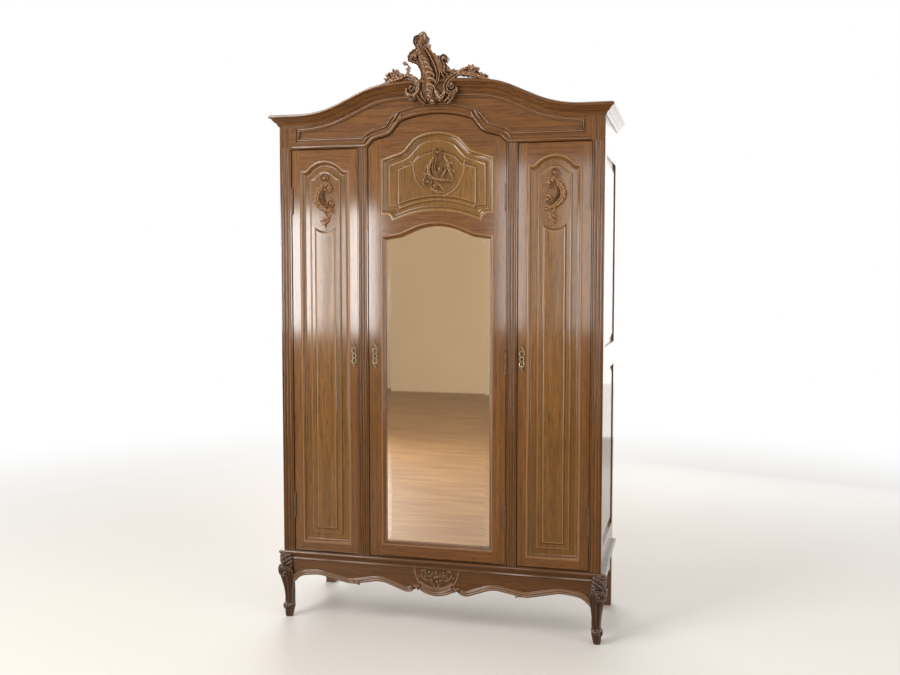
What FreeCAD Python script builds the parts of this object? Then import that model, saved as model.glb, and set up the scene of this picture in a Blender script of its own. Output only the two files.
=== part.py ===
import FreeCAD, Part
import math
import os
import re

# A three-door wardrobe in dark oak, with a mirror in its arched centre door, a serpentine
# cornice with a carved crest, and a base on two cabriole legs and two plain ones.
# x runs to the right, y to the back and z up. Lengths below count y from the front plane
# of the posts, and every piece is then placed so that the origin lies under the middle.

V = FreeCAD.Vector
doc = FreeCAD.newDocument("Wardrobe")
sheet = doc.addObject("Spreadsheet::Sheet", "Sizes")

SIZES = (
    # the case as a whole
    ("case_width", 1360),
    ("case_depth", 530),
    ("base_top", 296),
    ("case_top", 2004),
    ("centre_half", 292.5),
    # corner posts, dividers and the stops behind the doors
    ("post_face", 49),
    ("post_depth", 60),
    ("rear_post_face", 45),
    ("rear_post_depth", 45),
    ("divider_face", 43),
    ("divider_depth", 45),
    ("stop_lip", 10),
    ("stop_gap", 0.5),
    ("reed_depth", 4),
    ("reed_fillet", 4),
    ("reed_count", 3),
    ("partition_board", 18),
    # doors
    ("door_setback", 5),
    ("door_thickness", 26),
    ("door_gap", 3),
    ("side_stile", 34.75),
    ("side_panel_rise", 37),
    ("side_shoulder_drop", 89.4),
    ("side_raise_rise", 80),
    ("side_raise_drop", 125),
    ("side_field_rise", 104),
    ("side_field_drop", 332),
    ("centre_stile", 51.5),
    ("centre_panel_drop", 276),
    ("centre_shoulder_drop", 51),
    ("mirror_rise", 49),
    ("mirror_drop", 376),
    ("moulding_width", 20),
    ("moulding_drop", 10),
    ("panel_board", 8),
    ("raise_step", 5),
    ("field_step", 4),
    ("field_slope", 18),
    ("centre_raise_inset", 33),
    ("centre_field_drop", 236),
    ("centre_field_head_drop", 92),
    ("centre_field_slope", 30),
    ("mirror_moulding", 17),
    ("mirror_sink", 18),
    ("mirror_lap", 5),
    ("glass_thickness", 5),
    ("glass_bevel", 25),
    ("bevel_drop", 1.2),
    ("backing_board", 2.4),
    ("backing_fit", 2),
    # fittings
    ("knuckle_radius", 4),
    ("hinge_clearance", 0.3),
    ("hinge_length", 110),
    ("hinge_split", 0.5),
    ("leaf_thickness", 1.3),
    ("leaf_reach", 25),
    ("pin_radius", 2),
    ("pin_fit", 0.15),
    ("pin_length", 50),
    ("lower_hinge_rise", 199),
    ("middle_hinge_level", 1135),
    ("upper_hinge_drop", 216),
    ("lock_level", 1145),
    ("lock_width", 38),
    ("lock_height", 80),
    ("lock_depth", 14),
    ("lock_clearance", 2.5),
    ("lock_wall", 3),
    ("bolt_length", 24),
    ("bolt_height", 14),
    ("bolt_thickness", 6),
    ("bolt_fit", 0.3),
    ("mortise_depth", 12),
    ("mortise_fit", 1.2),
    ("plate_height", 109),
    ("plate_width", 26),
    ("plate_thickness", 2),
    ("keyhole_radius", 3.2),
    ("keyhole_slot", 11),
    # base
    ("leg_head", 40),
    ("apron_setback", 3),
    ("apron_board", 32),
    ("side_apron_board", 28),
    ("apron_bead", 16),
    ("apron_bead_proud", 5),
    ("base_cap", 13),
    ("base_cap_proud", 17),
    ("base_cove", 27),
    ("base_cove_proud", 10),
    ("side_apron_foot", 150),
    ("side_apron_arch", 187),
    ("rear_rail_foot", 200),
    # case boards
    ("board", 18),
    ("side_frame", 24),
    ("side_foot_rail", 84),
    ("side_waist_foot", 1090),
    ("side_waist_head", 1190),
    ("side_head_rail", 51),
    ("side_panel_board", 8),
    ("side_raise", 4),
    ("side_bevel", 22),
    ("side_margin", 14),
    ("back_board", 18),
    ("back_rail", 94),
    ("back_muntin", 60),
    ("back_panel_board", 8),
    ("notch_fit", 0.3),
    # fittings inside
    ("shelf_setback", 62),
    ("shelf_fit", 0.4),
    ("batten", 20),
    ("hat_shelf_drop", 204),
    ("rail_drop", 65),
    ("rail_radius", 14),
    ("rail_fit", 0.3),
    ("socket_thickness", 12),
    ("socket_wall", 5),
    # top
    ("frieze_depth", 45),
    ("frieze_frame", 26),
    ("frieze_sink", 4),
    ("frieze_bead", 16),
    ("frieze_bead_proud", 6),
    ("frieze_top_board", 24),
    ("frieze_end", 96),
    ("cornice_height", 46),
    ("cornice_proud", 36),
    ("block_rise", 42),
    ("flute_width", 11),
    ("flute_sink", 3),
    ("flute_margin", 8),
    ("crest_front", 50),
    ("crest_fit", 0.3),
    ("crest_rise", 60),
    ("crest_height", 300),
    ("overrun", 5),
)
ALIASES = {alias for alias, number in SIZES}
for row, (alias, number) in enumerate(SIZES, start=1):
    sheet.set(f"A{row}", alias)
    sheet.set(f"B{row}", str(number))
    sheet.setAlias(f"B{row}", alias)
doc.recompute()

# Places worked out from the sizes, as expressions of their names.
FRONT = "(crest_front - case_depth) / 2"
HALF = "case_width / 2"
POST_IN = "(case_width / 2 - post_face)"
REAR_IN = "(case_width / 2 - rear_post_face)"
REAR_FRONT = "(case_depth - rear_post_depth)"
SIDE_IN = "(case_width / 2 - side_frame)"
DIVIDER_OUT = "(centre_half + divider_face)"
DIVIDER_MID = "(centre_half + divider_face / 2)"
DOOR_BACK = "(door_setback + door_thickness)"
STOP = "(door_setback + door_thickness + stop_gap)"
DOOR_FOOT = "(base_top + door_gap)"
DOOR_HEAD = "(case_top - door_gap)"
FLOOR_TOP = "(base_top + board)"
HAT_SHELF = "(case_top - hat_shelf_drop)"
RAIL_LEVEL = "(case_top - hat_shelf_drop - rail_drop)"
HINGE_LEVELS = {"lower_hinge": "(base_top + lower_hinge_rise)",
                "middle_hinge": "middle_hinge_level",
                "upper_hinge": "(case_top - upper_hinge_drop)"}
CORNICE_FOOT = "(case_top + frieze_end)"
BLOCK_TOP = "(case_top + frieze_end + block_rise)"
BACK_FRONT = "(case_depth - back_board)"
SIDE_DOOR_MID = "((case_width / 2 - post_face + centre_half + divider_face) / 2)"
SIDE_PANEL_HALF = ("((case_width / 2 - post_face - centre_half - divider_face) / 2"
                   " - door_gap - side_stile)")
CENTRE_PANEL_HALF = "(centre_half - door_gap - centre_stile)"
LEG_INNER = "(case_width / 2 - leg_head)"
CAP_FOOT = "(base_top - base_cap)"
SIDE_STOP_FACE = "(centre_half + divider_face + stop_lip)"
CENTRE_STOP_FACE = "(stop_lip - centre_half)"

# Outlines as shares of a half width: each row is a corner's place beside the middle, its
# height over the level that the outline starts from, and the radius that rounds it.
SIDE_PANEL_HEAD_SHARES = ((1, 0, 0), (0.745, 0, 0.11), (0, 0.889, 0.915))
SIDE_RAISE_HEAD_SHARES = ((1, 0, 0), (0.776, 0.06, 0.30), (0, 0.73, 0.776))
SIDE_FIELD_HEAD_SHARES = ((1, 0, 0), (0, -0.82, 1.4))
SIDE_RAISE_SHARE = 0.609
SIDE_FIELD_SHARE = 0.382
CENTRE_FIELD_SHARE = 0.685
CENTRE_FOOT_SHARES = ((0, 0.231, 1.87), (0.798, -0.13, 0), (0.798, 0, 0.118), (1, 0, 0))
CENTRE_HEAD_SHARES = ((1, 0, 0), (0.597, 0.126, 0.19), (0.408, 0.34, 0.2), (0, 0.529, 0.8))
CENTRE_FIELD_FOOT_SHARES = ((0, 0.38, 2.6), (1, 0, 0))
CENTRE_FIELD_HEAD_SHARES = ((1, 0, 0), (0.66, 0.1, 0), (0.45, 0.3, 0), (0, 0.46, 0.9))
MIRROR_HEAD_SHARES = ((1, 0.05, 0), (0.664, 0.097, 0.25), (0, 0.378, 1.07))
ARCH_SHARES = ((1, 0, 0.075), (0.916, 0.096, 0.137), (0.66, 0.164, 0.154),
               (0.513, 0.349, 0.16), (0, 0.492, 1.45))
CORNICE_SHARES = ((0.713, 0, 0.735), (0.368, 0.154, 0.441), (0, 0.182, 2.9))
# The apron's foot: across in shares of the half span between the legs, up and round in
# shares of the base's height.
APRON_SHARES = ((0, 0.41, 0.44), (0.125, 0.591, 0), (0.188, 0.514, 0.17), (0.375, 0.659, 0.4),
                (0.586, 0.574, 0.4), (0.8125, 0.679, 0.5), (0.956, 0.639, 0.24), (1, 0.507, 0))
# The cabriole leg: each section's height as a share of the leg's, then its reach past the
# case's corner and its width as shares of the base's height.
LEG_SHARES = ((0, 0, 0.098), (0.07, 0.006, 0.12), (0.15, 0.012, 0.142), (0.23, 0.002, 0.134),
              (0.36, 0.001, 0.13), (0.5, 0.018, 0.146), (0.62, 0.044, 0.172), (0.73, 0.066, 0.193),
              (0.79, 0.061, 0.188), (0.82, 0.03, 0.164))
LEG_CORNER_SHARE = 0.2
KNEE_BLOCK_SHARES = ((0.82, 0.03, 0.164), (0.847, 0.057, 0.191), (0.926, 0.04, 0.174),
                     (1, 0.05, 0.184))
BLOCK_CORNER_SHARE = 0.1
BARREL_SIDES = 12
# Moulding sections: out from the wall and up, as shares of their reach and height.
CORNICE_SECTION_SHARES = ((0, 0), (0.12, 0), (0.16, 0.1), (0.26, 0.26), (0.48, 0.36),
                          (0.52, 0.46), (0.66, 0.52), (0.72, 0.64), (0.93, 0.68), (1, 0.78),
                          (0.96, 0.92), (0.8, 1), (0, 1))
COVE_SECTION_SHARES = ((0, 0), (0.3, 0), (0.45, 0.12), (0.3, 0.26), (0.2, 0.36), (0.3, 0.66),
                       (0.62, 0.92), (1, 1), (0, 1))
CAP_SECTION_SHARES = ((0, 0), (0.85, 0), (0.95, 0.12), (1, 0.35), (1, 0.65), (0.95, 0.88),
                      (0.85, 1), (0, 1))
BEAD_SECTION_SHARES = ((0, -0.5), (0.7, -0.33), (1, 0), (0.7, 0.33), (0, 0.5))
FLUTE_SHARES = (0.3, 0.7)
# The crest's outline and its pierced eye: across, up and rounding as shares of its height.
CREST_SHARES = (
    (-0.10, 0.03, 0), (0.12, 0.02, 0.05), (0.20, 0.13, 0), (0.31, 0.165, 0),
    (0.27, 0.24, 0), (0.26, 0.34, 0.04), (0.36, 0.37, 0), (0.60, 0.355, 0),
    (0.74, 0.33, 0), (0.60, 0.43, 0), (0.53, 0.52, 0.05), (0.40, 0.47, 0.04),
    (0.24, 0.46, 0.04), (0.18, 0.54, 0), (0.17, 0.66, 0.045), (0.06, 0.67, 0),
    (-0.01, 0.69, 0), (-0.06, 0.79, 0), (-0.11, 0.79, 0), (-0.07, 0.89, 0.04),
    (-0.16, 1, 0.04), (-0.265, 0.92, 0.06), (-0.27, 0.78, 0.05), (-0.24, 0.725, 0),
    (-0.36, 0.69, 0.05), (-0.39, 0.61, 0.04), (-0.33, 0.555, 0), (-0.44, 0.58, 0),
    (-0.44, 0.53, 0), (-0.39, 0.50, 0), (-0.40, 0.40, 0), (-0.52, 0.50, 0.04),
    (-0.67, 0.47, 0.06), (-0.72, 0.36, 0), (-0.86, 0.28, 0), (-0.40, 0.33, 0),
    (-0.40, 0.17, 0.04), (-0.24, 0.11, 0),
)
CREST_EYE_SHARES = ((-0.36, 0.41, 0.01), (-0.25, 0.33, 0.03), (-0.19, 0.35, 0.03),
                    (-0.20, 0.46, 0.05), (-0.29, 0.55, 0.03), (-0.35, 0.54, 0.02))
CREST_MIDDLE_SHARE = 0.02
# The lock plate: across and round as shares of its half width, up as shares of its half height.
PLATE_SHARES = ((0, -1, 0), (0.85, -0.62, 0), (0.55, -0.36, 0), (1.1, -0.12, 0.6),
                (0.6, 0.12, 0), (1.15, 0.38, 0.6), (0.45, 0.62, 0), (0.6, 0.76, 0), (0, 1, 0))
SHELF_SHARES = (0.2, 0.4, 0.6, 0.8)


def bound(expression):
    """The expression with each size's name pointed at the sheet."""
    return re.sub(r"[a-z][a-z_]*",
                  lambda found: "Sizes." + found.group(0) if found.group(0) in ALIASES
                  else found.group(0), expression)


def value(expression):
    """What an expression of the sizes' names comes to."""
    return float(sheet.evalExpression(bound(expression)))


def unit(across, up):
    length = math.hypot(across, up)
    return across / length, up / length


def directions(corners, index):
    """The unit directions into and out of a corner."""
    across, up, radius = corners[index]
    before = corners[index - 1]
    after = corners[(index + 1) % len(corners)]
    return unit(across - before[0], up - before[1]), unit(after[0] - across, after[1] - up)


def corner_turn(corners, index):
    into, out = directions(corners, index)
    return math.acos(max(-1, min(1, into[0] * out[0] + into[1] * out[1])))


def rounded(corners, place, closed=True):
    """Lines and tangent arcs along a run of corners, each rounded by its own radius."""
    count = len(corners)
    turns = [corner_turn(corners, index) for index in range(count)]
    reaches = [corner[2] * math.tan(turn / 2) for corner, turn in zip(corners, turns)]
    if not closed:
        reaches[0] = reaches[-1] = 0
    for index in range(count if closed else count - 1):
        following = (index + 1) % count
        length = math.hypot(corners[following][0] - corners[index][0],
                            corners[following][1] - corners[index][1])
        used = reaches[index] + reaches[following]
        if used > length:
            reaches[index] *= length / used
            reaches[following] *= length / used
    stations = []
    for index, (across, up, radius) in enumerate(corners):
        reach = reaches[index]
        if not reach:
            stations.append(((across, up), None, (across, up)))
            continue
        into, out = directions(corners, index)
        lift = reach / math.sin(turns[index] / 2) - reach / math.tan(turns[index] / 2)
        middle = unit(out[0] - into[0], out[1] - into[1])
        stations.append(((across - into[0] * reach, up - into[1] * reach),
                         (across + middle[0] * lift, up + middle[1] * lift),
                         (across + out[0] * reach, up + out[1] * reach)))
    edges = []
    for index, (start, middle, end) in enumerate(stations):
        if middle:
            edges.append(Part.Arc(place(*start), place(*middle), place(*end)))
        if index + 1 < count or closed:
            following = stations[(index + 1) % count][0]
            if math.hypot(following[0] - end[0], following[1] - end[1]) > 1e-6:
                edges.append(Part.LineSegment(place(*end), place(*following)))
    return edges


def inset(corners, distance):
    """The same anticlockwise outline drawn in by a distance."""
    drawn = []
    for index, (across, up, radius) in enumerate(corners):
        into, out = directions(corners, index)
        normal = (-into[1] - out[1], into[0] + out[0])
        share = distance / (1 + into[0] * out[0] + into[1] * out[1])
        convex = into[0] * out[1] - into[1] * out[0] > 0
        if radius:
            radius = radius - distance if convex else radius + distance
        drawn.append((across + share * normal[0], up + share * normal[1], max(radius, 0)))
    return drawn


def scaled(shares, half, base):
    return [(across * half, base + up * half, radius * half) for across, up, radius in shares]


def mirrored(right):
    """A whole outline from its right half, listed from the foot up to the head."""
    return right + [(-across, up, radius) for across, up, radius in reversed(right) if across > 0]


def moved(corners, across, up=0):
    return [(corner[0] + across, corner[1] + up, corner[2]) for corner in corners]


def front_wire(corners, depth):
    edges = rounded(corners, lambda across, up: V(across, depth, up))
    return Part.Wire([edge.toShape() for edge in edges])


def prism(corners, depth, end):
    """A front outline carried back from one depth to another."""
    return Part.Face(front_wire(corners, depth)).extrude(V(0, end - depth, 0))


def plug(corners, depth, draw, end, end_draw):
    """A front outline that draws in on its way from one depth to another."""
    return Part.makeLoft([front_wire(inset(corners, draw), depth),
                          front_wire(inset(corners, end_draw), end)], True, True)


def shaped(label, shape):
    piece = doc.addObject("Part::Feature", label)
    piece.Label = label
    piece.Shape = shape
    piece.setExpression("Placement.Base.y", bound(FRONT))
    return piece


def box(label, x, y, z):
    """A board between two bound places on each axis."""
    piece = doc.addObject("Part::Box", label)
    piece.Label = label
    for name, (low, high) in (("Length", x), ("Width", y), ("Height", z)):
        piece.setExpression(name, bound(f"({high}) - ({low})"))
    piece.setExpression("Placement.Base.x", bound(x[0]))
    piece.setExpression("Placement.Base.y", bound(f"{FRONT} + ({y[0]})"))
    piece.setExpression("Placement.Base.z", bound(z[0]))
    return piece


def rod(label, radius, length, x, y, z, direction=V(0, 0, 1)):
    """A round bar from a bound place along a direction."""
    piece = doc.addObject("Part::Cylinder", label)
    piece.Label = label
    piece.setExpression("Radius", bound(radius))
    piece.setExpression("Height", bound(length))
    piece.Placement = FreeCAD.Placement(V(0, 0, 0), FreeCAD.Rotation(V(0, 0, 1), direction))
    piece.setExpression("Placement.Base.x", bound(x))
    piece.setExpression("Placement.Base.y", bound(f"{FRONT} + ({y})"))
    piece.setExpression("Placement.Base.z", bound(z))
    return piece


def barrel(label, radius, length, x, y, z):
    """A many-sided bar stood on end, for the knuckles and pins of the hinges."""
    piece = doc.addObject("Part::Prism", label)
    piece.Label = label
    piece.Polygon = BARREL_SIDES
    piece.setExpression("Circumradius", bound(radius))
    piece.setExpression("Height", bound(length))
    piece.setExpression("Placement.Base.x", bound(x))
    piece.setExpression("Placement.Base.y", bound(f"{FRONT} + ({y})"))
    piece.setExpression("Placement.Base.z", bound(z))
    return piece


def combined(kind, label, pieces):
    """A compound, fusion or common part of several pieces."""
    node = doc.addObject(kind, label)
    node.Label = label
    if kind == "Part::Compound":
        node.Links = pieces
    else:
        node.Shapes = pieces
    return node


def together(label, pieces):
    return combined("Part::Compound", label, pieces)


def fused(label, pieces):
    return combined("Part::MultiFuse", label, pieces)


def cut(label, base, tool):
    node = doc.addObject("Part::Cut", label)
    node.Label = label
    node.Base = base
    node.Tool = tool
    return node


def flank(side, low, high):
    """A stretch of x beside the middle, on the right (1) or mirrored to the left (-1)."""
    return (low, high) if side > 0 else (f"-({high})", f"-({low})")


def padded(label, role, edges, length, base):
    """A body padded from a sketch on one of its own origin planes."""
    body = doc.addObject("PartDesign::Body", label)
    body.Label = label
    sketch = body.newObject("Sketcher::SketchObject", label + "_outline")
    plane = [feature for feature in body.Origin.OriginFeatures if feature.Role == role][0]
    sketch.AttachmentSupport = [(plane, "")]
    sketch.MapMode = "FlatFace"
    sketch.addGeometry(edges, False)
    pad = body.newObject("PartDesign::Pad", label + "_pad")
    pad.Profile = sketch
    pad.setExpression("Length", bound(length))
    for axis, expression in zip("xyz", base):
        body.setExpression(f"Placement.Base.{axis}", bound(expression))
    return body


def upright_edges(low, high, depth, low_lip, high_lip, side):
    """An upright's section: reeds between two fillets in front, stop lips behind the doors."""
    fillet = value("reed_fillet")
    sink = value("reed_depth")
    stop = value(STOP)
    count = int(value("reed_count"))
    pitch = (high - low - 2 * fillet) / count
    runs = [((low, 0), (low + fillet, 0)), ((low + fillet, 0), (low + fillet, sink))]
    for reed in range(count):
        start = low + fillet + reed * pitch
        runs.append(((start, sink), (start + pitch / 2, 0), (start + pitch, sink)))
    outline = [(high - fillet, sink), (high - fillet, 0), (high, 0), (high, stop),
               (high + high_lip, stop), (high + high_lip, depth), (low - low_lip, depth),
               (low - low_lip, stop), (low, stop), (low, 0)]
    runs += [pair for pair in zip(outline, outline[1:]) if pair[0] != pair[1]]
    edges = []
    for run in runs:
        ends = [V(side * across, back, 0) for across, back in run]
        edges.append(Part.Arc(*ends) if len(ends) == 3 else Part.LineSegment(*ends))
    return edges


def section_prism(shares, reach, height, place, run):
    """A moulding's section, placed against a wall and carried along a straight run."""
    points = [place(across * reach, up * height) for across, up in shares]
    return Part.Face(Part.makePolygon(points + points[:1])).extrude(run)


def level_prism(points, low, high):
    corners = [V(across, back, low) for across, back in points]
    return Part.Face(Part.makePolygon(corners + corners[:1])).extrude(V(0, 0, high - low))


def reflected(shape):
    return shape.mirror(V(0, 0, 0), V(1, 0, 0))


def posts():
    nodes = []
    for name, side in (("left", -1), ("right", 1)):
        edges = upright_edges(value(POST_IN), value(HALF), value("post_depth"),
                              value("stop_lip"), 0, side)
        nodes.append(padded(f"front_{name}_post", "XY_Plane", edges, "case_top - base_top",
                            ("0", FRONT, "base_top")))
        nodes.append(box(f"rear_{name}_post", flank(side, REAR_IN, HALF),
                         (REAR_FRONT, "case_depth"), ("0", "case_top")))
    return nodes


def mortise(label, face, side):
    """The hole that a thrown bolt enters, in from the face of a stop."""
    low = f"({DOOR_BACK} + (lock_depth - bolt_thickness) / 2 - mortise_fit)"
    return box(label, flank(side, f"({face}) - mortise_depth", f"({face}) + overrun"),
               (low, f"{low} + bolt_thickness + 2 * mortise_fit"),
               ("lock_level - bolt_height / 2 - mortise_fit",
                "lock_level + bolt_height / 2 + mortise_fit"))


def dividers():
    nodes = []
    for name, side in (("left", -1), ("right", 1)):
        edges = upright_edges(value("centre_half"), value(DIVIDER_OUT), value("divider_depth"),
                              value("stop_lip"), value("stop_lip"), side)
        body = padded(f"{name}_divider_post", "XY_Plane", edges, "case_top - base_top",
                      ("0", FRONT, "base_top"))
        holes = [mortise(f"{name}_divider_mortise", SIDE_STOP_FACE, side)]
        if side < 0:
            holes.append(mortise("centre_mortise", CENTRE_STOP_FACE, 1))
        nodes.append(cut(f"{name}_divider", body, fused(f"{name}_mortises", holes)
                         if len(holes) > 1 else holes[0]))
        nodes.append(box(f"{name}_partition",
                         flank(side, f"{DIVIDER_MID} - partition_board / 2",
                               f"{DIVIDER_MID} + partition_board / 2"),
                         ("divider_depth", BACK_FRONT), (FLOOR_TOP, "case_top")))
    return nodes


def leg_section(height_share, reach_share, width_share, corner_share):
    """One level section of a leg, whose outer corner reaches past the corner of the case."""
    height = height_share * value(CAP_FOOT)
    reach = reach_share * value("base_top")
    width = width_share * value("base_top")
    trim = width * corner_share
    right = value(HALF) + reach
    left = right - width
    front = -reach
    back = front + width
    corners = [(left + trim, front), (right - trim, front), (right, front + trim),
               (right, back - trim), (right - trim, back), (left + trim, back),
               (left, back - trim), (left, front + trim)]
    return Part.makePolygon([V(across, depth, height) for across, depth in corners + corners[:1]])


def legs():
    """Two cabriole legs, each with a carved block over its knee and a tenon under its post."""
    leg = Part.makeLoft([leg_section(*row, LEG_CORNER_SHARE) for row in LEG_SHARES], True, True)
    block = Part.makeLoft([leg_section(*row, BLOCK_CORNER_SHARE) for row in KNEE_BLOCK_SHARES],
                          True, True)
    setback = value("apron_setback")
    inner = value(LEG_INNER)
    back = value("leg_head")
    outer = value(HALF) - setback
    head = level_prism([(inner, setback), (outer, setback), (outer, back), (inner, back)],
                       value(CAP_FOOT), value("base_top"))
    right = leg.fuse([block, head]).removeSplitter()
    return [shaped("front_legs", Part.Compound([right, reflected(right)]))]


def aprons():
    inner = value(LEG_INNER)
    height = value("base_top")
    setback = value("apron_setback")
    proud = value("apron_bead_proud")
    over = value("overrun")
    foot = [(across * inner, up * height, radius * height) for across, up, radius in APRON_SHARES]
    outline = mirrored(foot + [(inner, height, 0)])
    board = prism(outline, setback, setback + value("apron_board"))
    bead = prism(outline, setback - proud, setback)
    bead = bead.cut(prism(moved(outline, 0, value("apron_bead")), setback - proud - over,
                          setback + over))
    cove_foot = value(f"{CAP_FOOT} - base_cove")
    cove = section_prism(COVE_SECTION_SHARES, value("base_cove_proud"), value("base_cove"),
                         lambda out, up: V(-inner, setback - out, cove_foot + up),
                         V(2 * inner, 0, 0))
    front = shaped("front_apron", board.fuse([bead, cove]).removeSplitter())

    start = value("leg_head")
    end = value(REAR_FRONT)
    wall = value(HALF) - setback
    low = value("side_apron_foot")
    arch = value("side_apron_arch")
    rise = arch - low
    corners = [(start, low, 0), (start + 2 * rise, arch, 2 * rise), (end - 2 * rise, arch, 2 * rise),
               (end, low, 0), (end, height, 0), (start, height, 0)]
    thickness = value("side_apron_board")
    edges = rounded(corners, lambda back, up: V(wall - thickness, back, up))
    side = Part.Face(Part.Wire([edge.toShape() for edge in edges])).extrude(V(thickness, 0, 0))
    side_cove = section_prism(COVE_SECTION_SHARES, value("base_cove_proud"), value("base_cove"),
                              lambda out, up: V(wall + out, start, cove_foot + up),
                              V(0, end - start, 0))
    side = side.fuse(side_cove).removeSplitter()
    sides = shaped("side_aprons", Part.Compound([side, reflected(side)]))
    rear = box("rear_rail", (f"-{REAR_IN}", REAR_IN), (BACK_FRONT, "case_depth"),
               ("rear_rail_foot", "base_top"))
    return [front, sides, rear]


def mitre_regions(half, wall, reach, low, high):
    """The room of a front moulding and of a right return, parted by a mitre at the corner."""
    depth = value("case_depth")
    front = level_prism([(-half, wall), (half, wall), (half + reach, wall - reach),
                         (-half - reach, wall - reach)], low, high)
    side = level_prism([(half, wall), (half + reach, wall - reach), (half + reach, depth),
                        (half, depth)], low, high)
    return front, side


def base_moulding():
    setback = value("apron_setback")
    half = value(HALF) - setback
    reach = value("base_cap_proud") + setback
    foot = value(CAP_FOOT)
    cap = value("base_cap")
    depth = value("case_depth")
    front_room, side_room = mitre_regions(half, setback, reach, foot, foot + cap)
    front = section_prism(CAP_SECTION_SHARES, reach, cap,
                          lambda out, up: V(-half - reach, setback - out, foot + up),
                          V(2 * (half + reach), 0, 0)).common(front_room)
    side = section_prism(CAP_SECTION_SHARES, reach, cap,
                         lambda out, up: V(half + out, setback - reach, foot + up),
                         V(0, depth + reach, 0)).common(side_room)
    post = Part.makeBox(value("rear_post_face"), value("rear_post_depth"), value("base_top"),
                        V(value(REAR_IN), value(REAR_FRONT), 0))
    side = side.cut(post)
    return [shaped("base_moulding", Part.Compound([front, side, reflected(side)]))]


def floor_board():
    """The case's floor, notched round the posts and dividers that stand on the base."""
    board = box("floor_blank", (f"-{SIDE_IN}", SIDE_IN), (STOP, BACK_FRONT),
                ("base_top", FLOOR_TOP))
    room = ("base_top - overrun", f"{FLOOR_TOP} + overrun")
    notches = []
    for name, side in (("left", -1), ("right", 1)):
        notches.append(box(f"{name}_front_notch",
                           flank(side, f"{POST_IN} - stop_lip - notch_fit", HALF),
                           ("0", "post_depth + notch_fit"), room))
        notches.append(box(f"{name}_rear_notch", flank(side, f"{REAR_IN} - notch_fit", HALF),
                           (f"{REAR_FRONT} - notch_fit", "case_depth"), room))
        notches.append(box(f"{name}_divider_notch",
                           flank(side, "centre_half - stop_lip - notch_fit",
                                 f"{DIVIDER_OUT} + stop_lip + notch_fit"),
                           ("0", "divider_depth + notch_fit"), room))
    return [cut("bottom_board", board, fused("floor_notches", notches))]


def side_frames():
    """Rails between the posts, with two fielded panels set in from the face on each side."""
    along = ("post_depth", REAR_FRONT)
    levels = (("foot", "base_top", "(base_top + side_foot_rail)"),
              ("waist", "side_waist_foot", "side_waist_head"),
              ("head", "(case_top - side_head_rail)", "case_top"))
    nodes = []
    for name, side in (("left", -1), ("right", 1)):
        rails = [box(f"{name}_{level}_rail", flank(side, SIDE_IN, HALF), along, (low, high))
                 for level, low, high in levels]
        nodes.append(together(f"{name}_side_rails", rails))
    outer = value(f"{HALF} - side_panel_board")
    board = value("side_panel_board")
    raised = value("side_raise")
    margin = value("side_margin")
    bevel = value("side_bevel")
    panels = []
    for below, above in zip(levels, levels[1:]):
        start, end = value("post_depth"), value(REAR_FRONT)
        low, high = value(below[2]), value(above[1])
        corners = [(start, low, 0), (end, low, 0), (end, high, 0), (start, high, 0)]
        wires = []
        for across, draw in ((outer, margin), (outer + raised, margin + bevel)):
            edges = rounded(inset(corners, draw), lambda back, up: V(across, back, up))
            wires.append(Part.Wire([edge.toShape() for edge in edges]))
        field = Part.makeLoft(wires, True, True)
        blank = Part.makeBox(board, end - start, high - low, V(outer - board, start, low))
        panels.append(blank.fuse(field).removeSplitter())
    right = Part.Compound(panels)
    nodes.append(shaped("right_side_panels", right))
    nodes.append(shaped("left_side_panels", reflected(right)))
    return nodes


def back():
    """Two rails and two muntins round three plain panels."""
    muntin_in = f"({DIVIDER_MID} - back_muntin / 2)"
    muntin_out = f"({DIVIDER_MID} + back_muntin / 2)"
    depth = (BACK_FRONT, "case_depth")
    low, high = "(base_top + back_rail)", "(case_top - back_rail)"
    pieces = [box("back_foot_rail", (f"-{REAR_IN}", REAR_IN), depth, ("base_top", low)),
              box("back_head_rail", (f"-{REAR_IN}", REAR_IN), depth, (high, "case_top"))]
    panel_depth = ("(case_depth - (back_board + back_panel_board) / 2)",
                   "(case_depth - (back_board - back_panel_board) / 2)")
    panels = [box("back_middle_panel", (f"-{muntin_in}", muntin_in), panel_depth, (low, high))]
    for name, side in (("left", -1), ("right", 1)):
        pieces.append(box(f"back_{name}_muntin", flank(side, muntin_in, muntin_out), depth,
                          (low, high)))
        panels.append(box(f"back_{name}_panel", flank(side, muntin_out, REAR_IN), panel_depth,
                          (low, high)))
    return [together("back_frame", pieces), together("back_panels", panels)]


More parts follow.
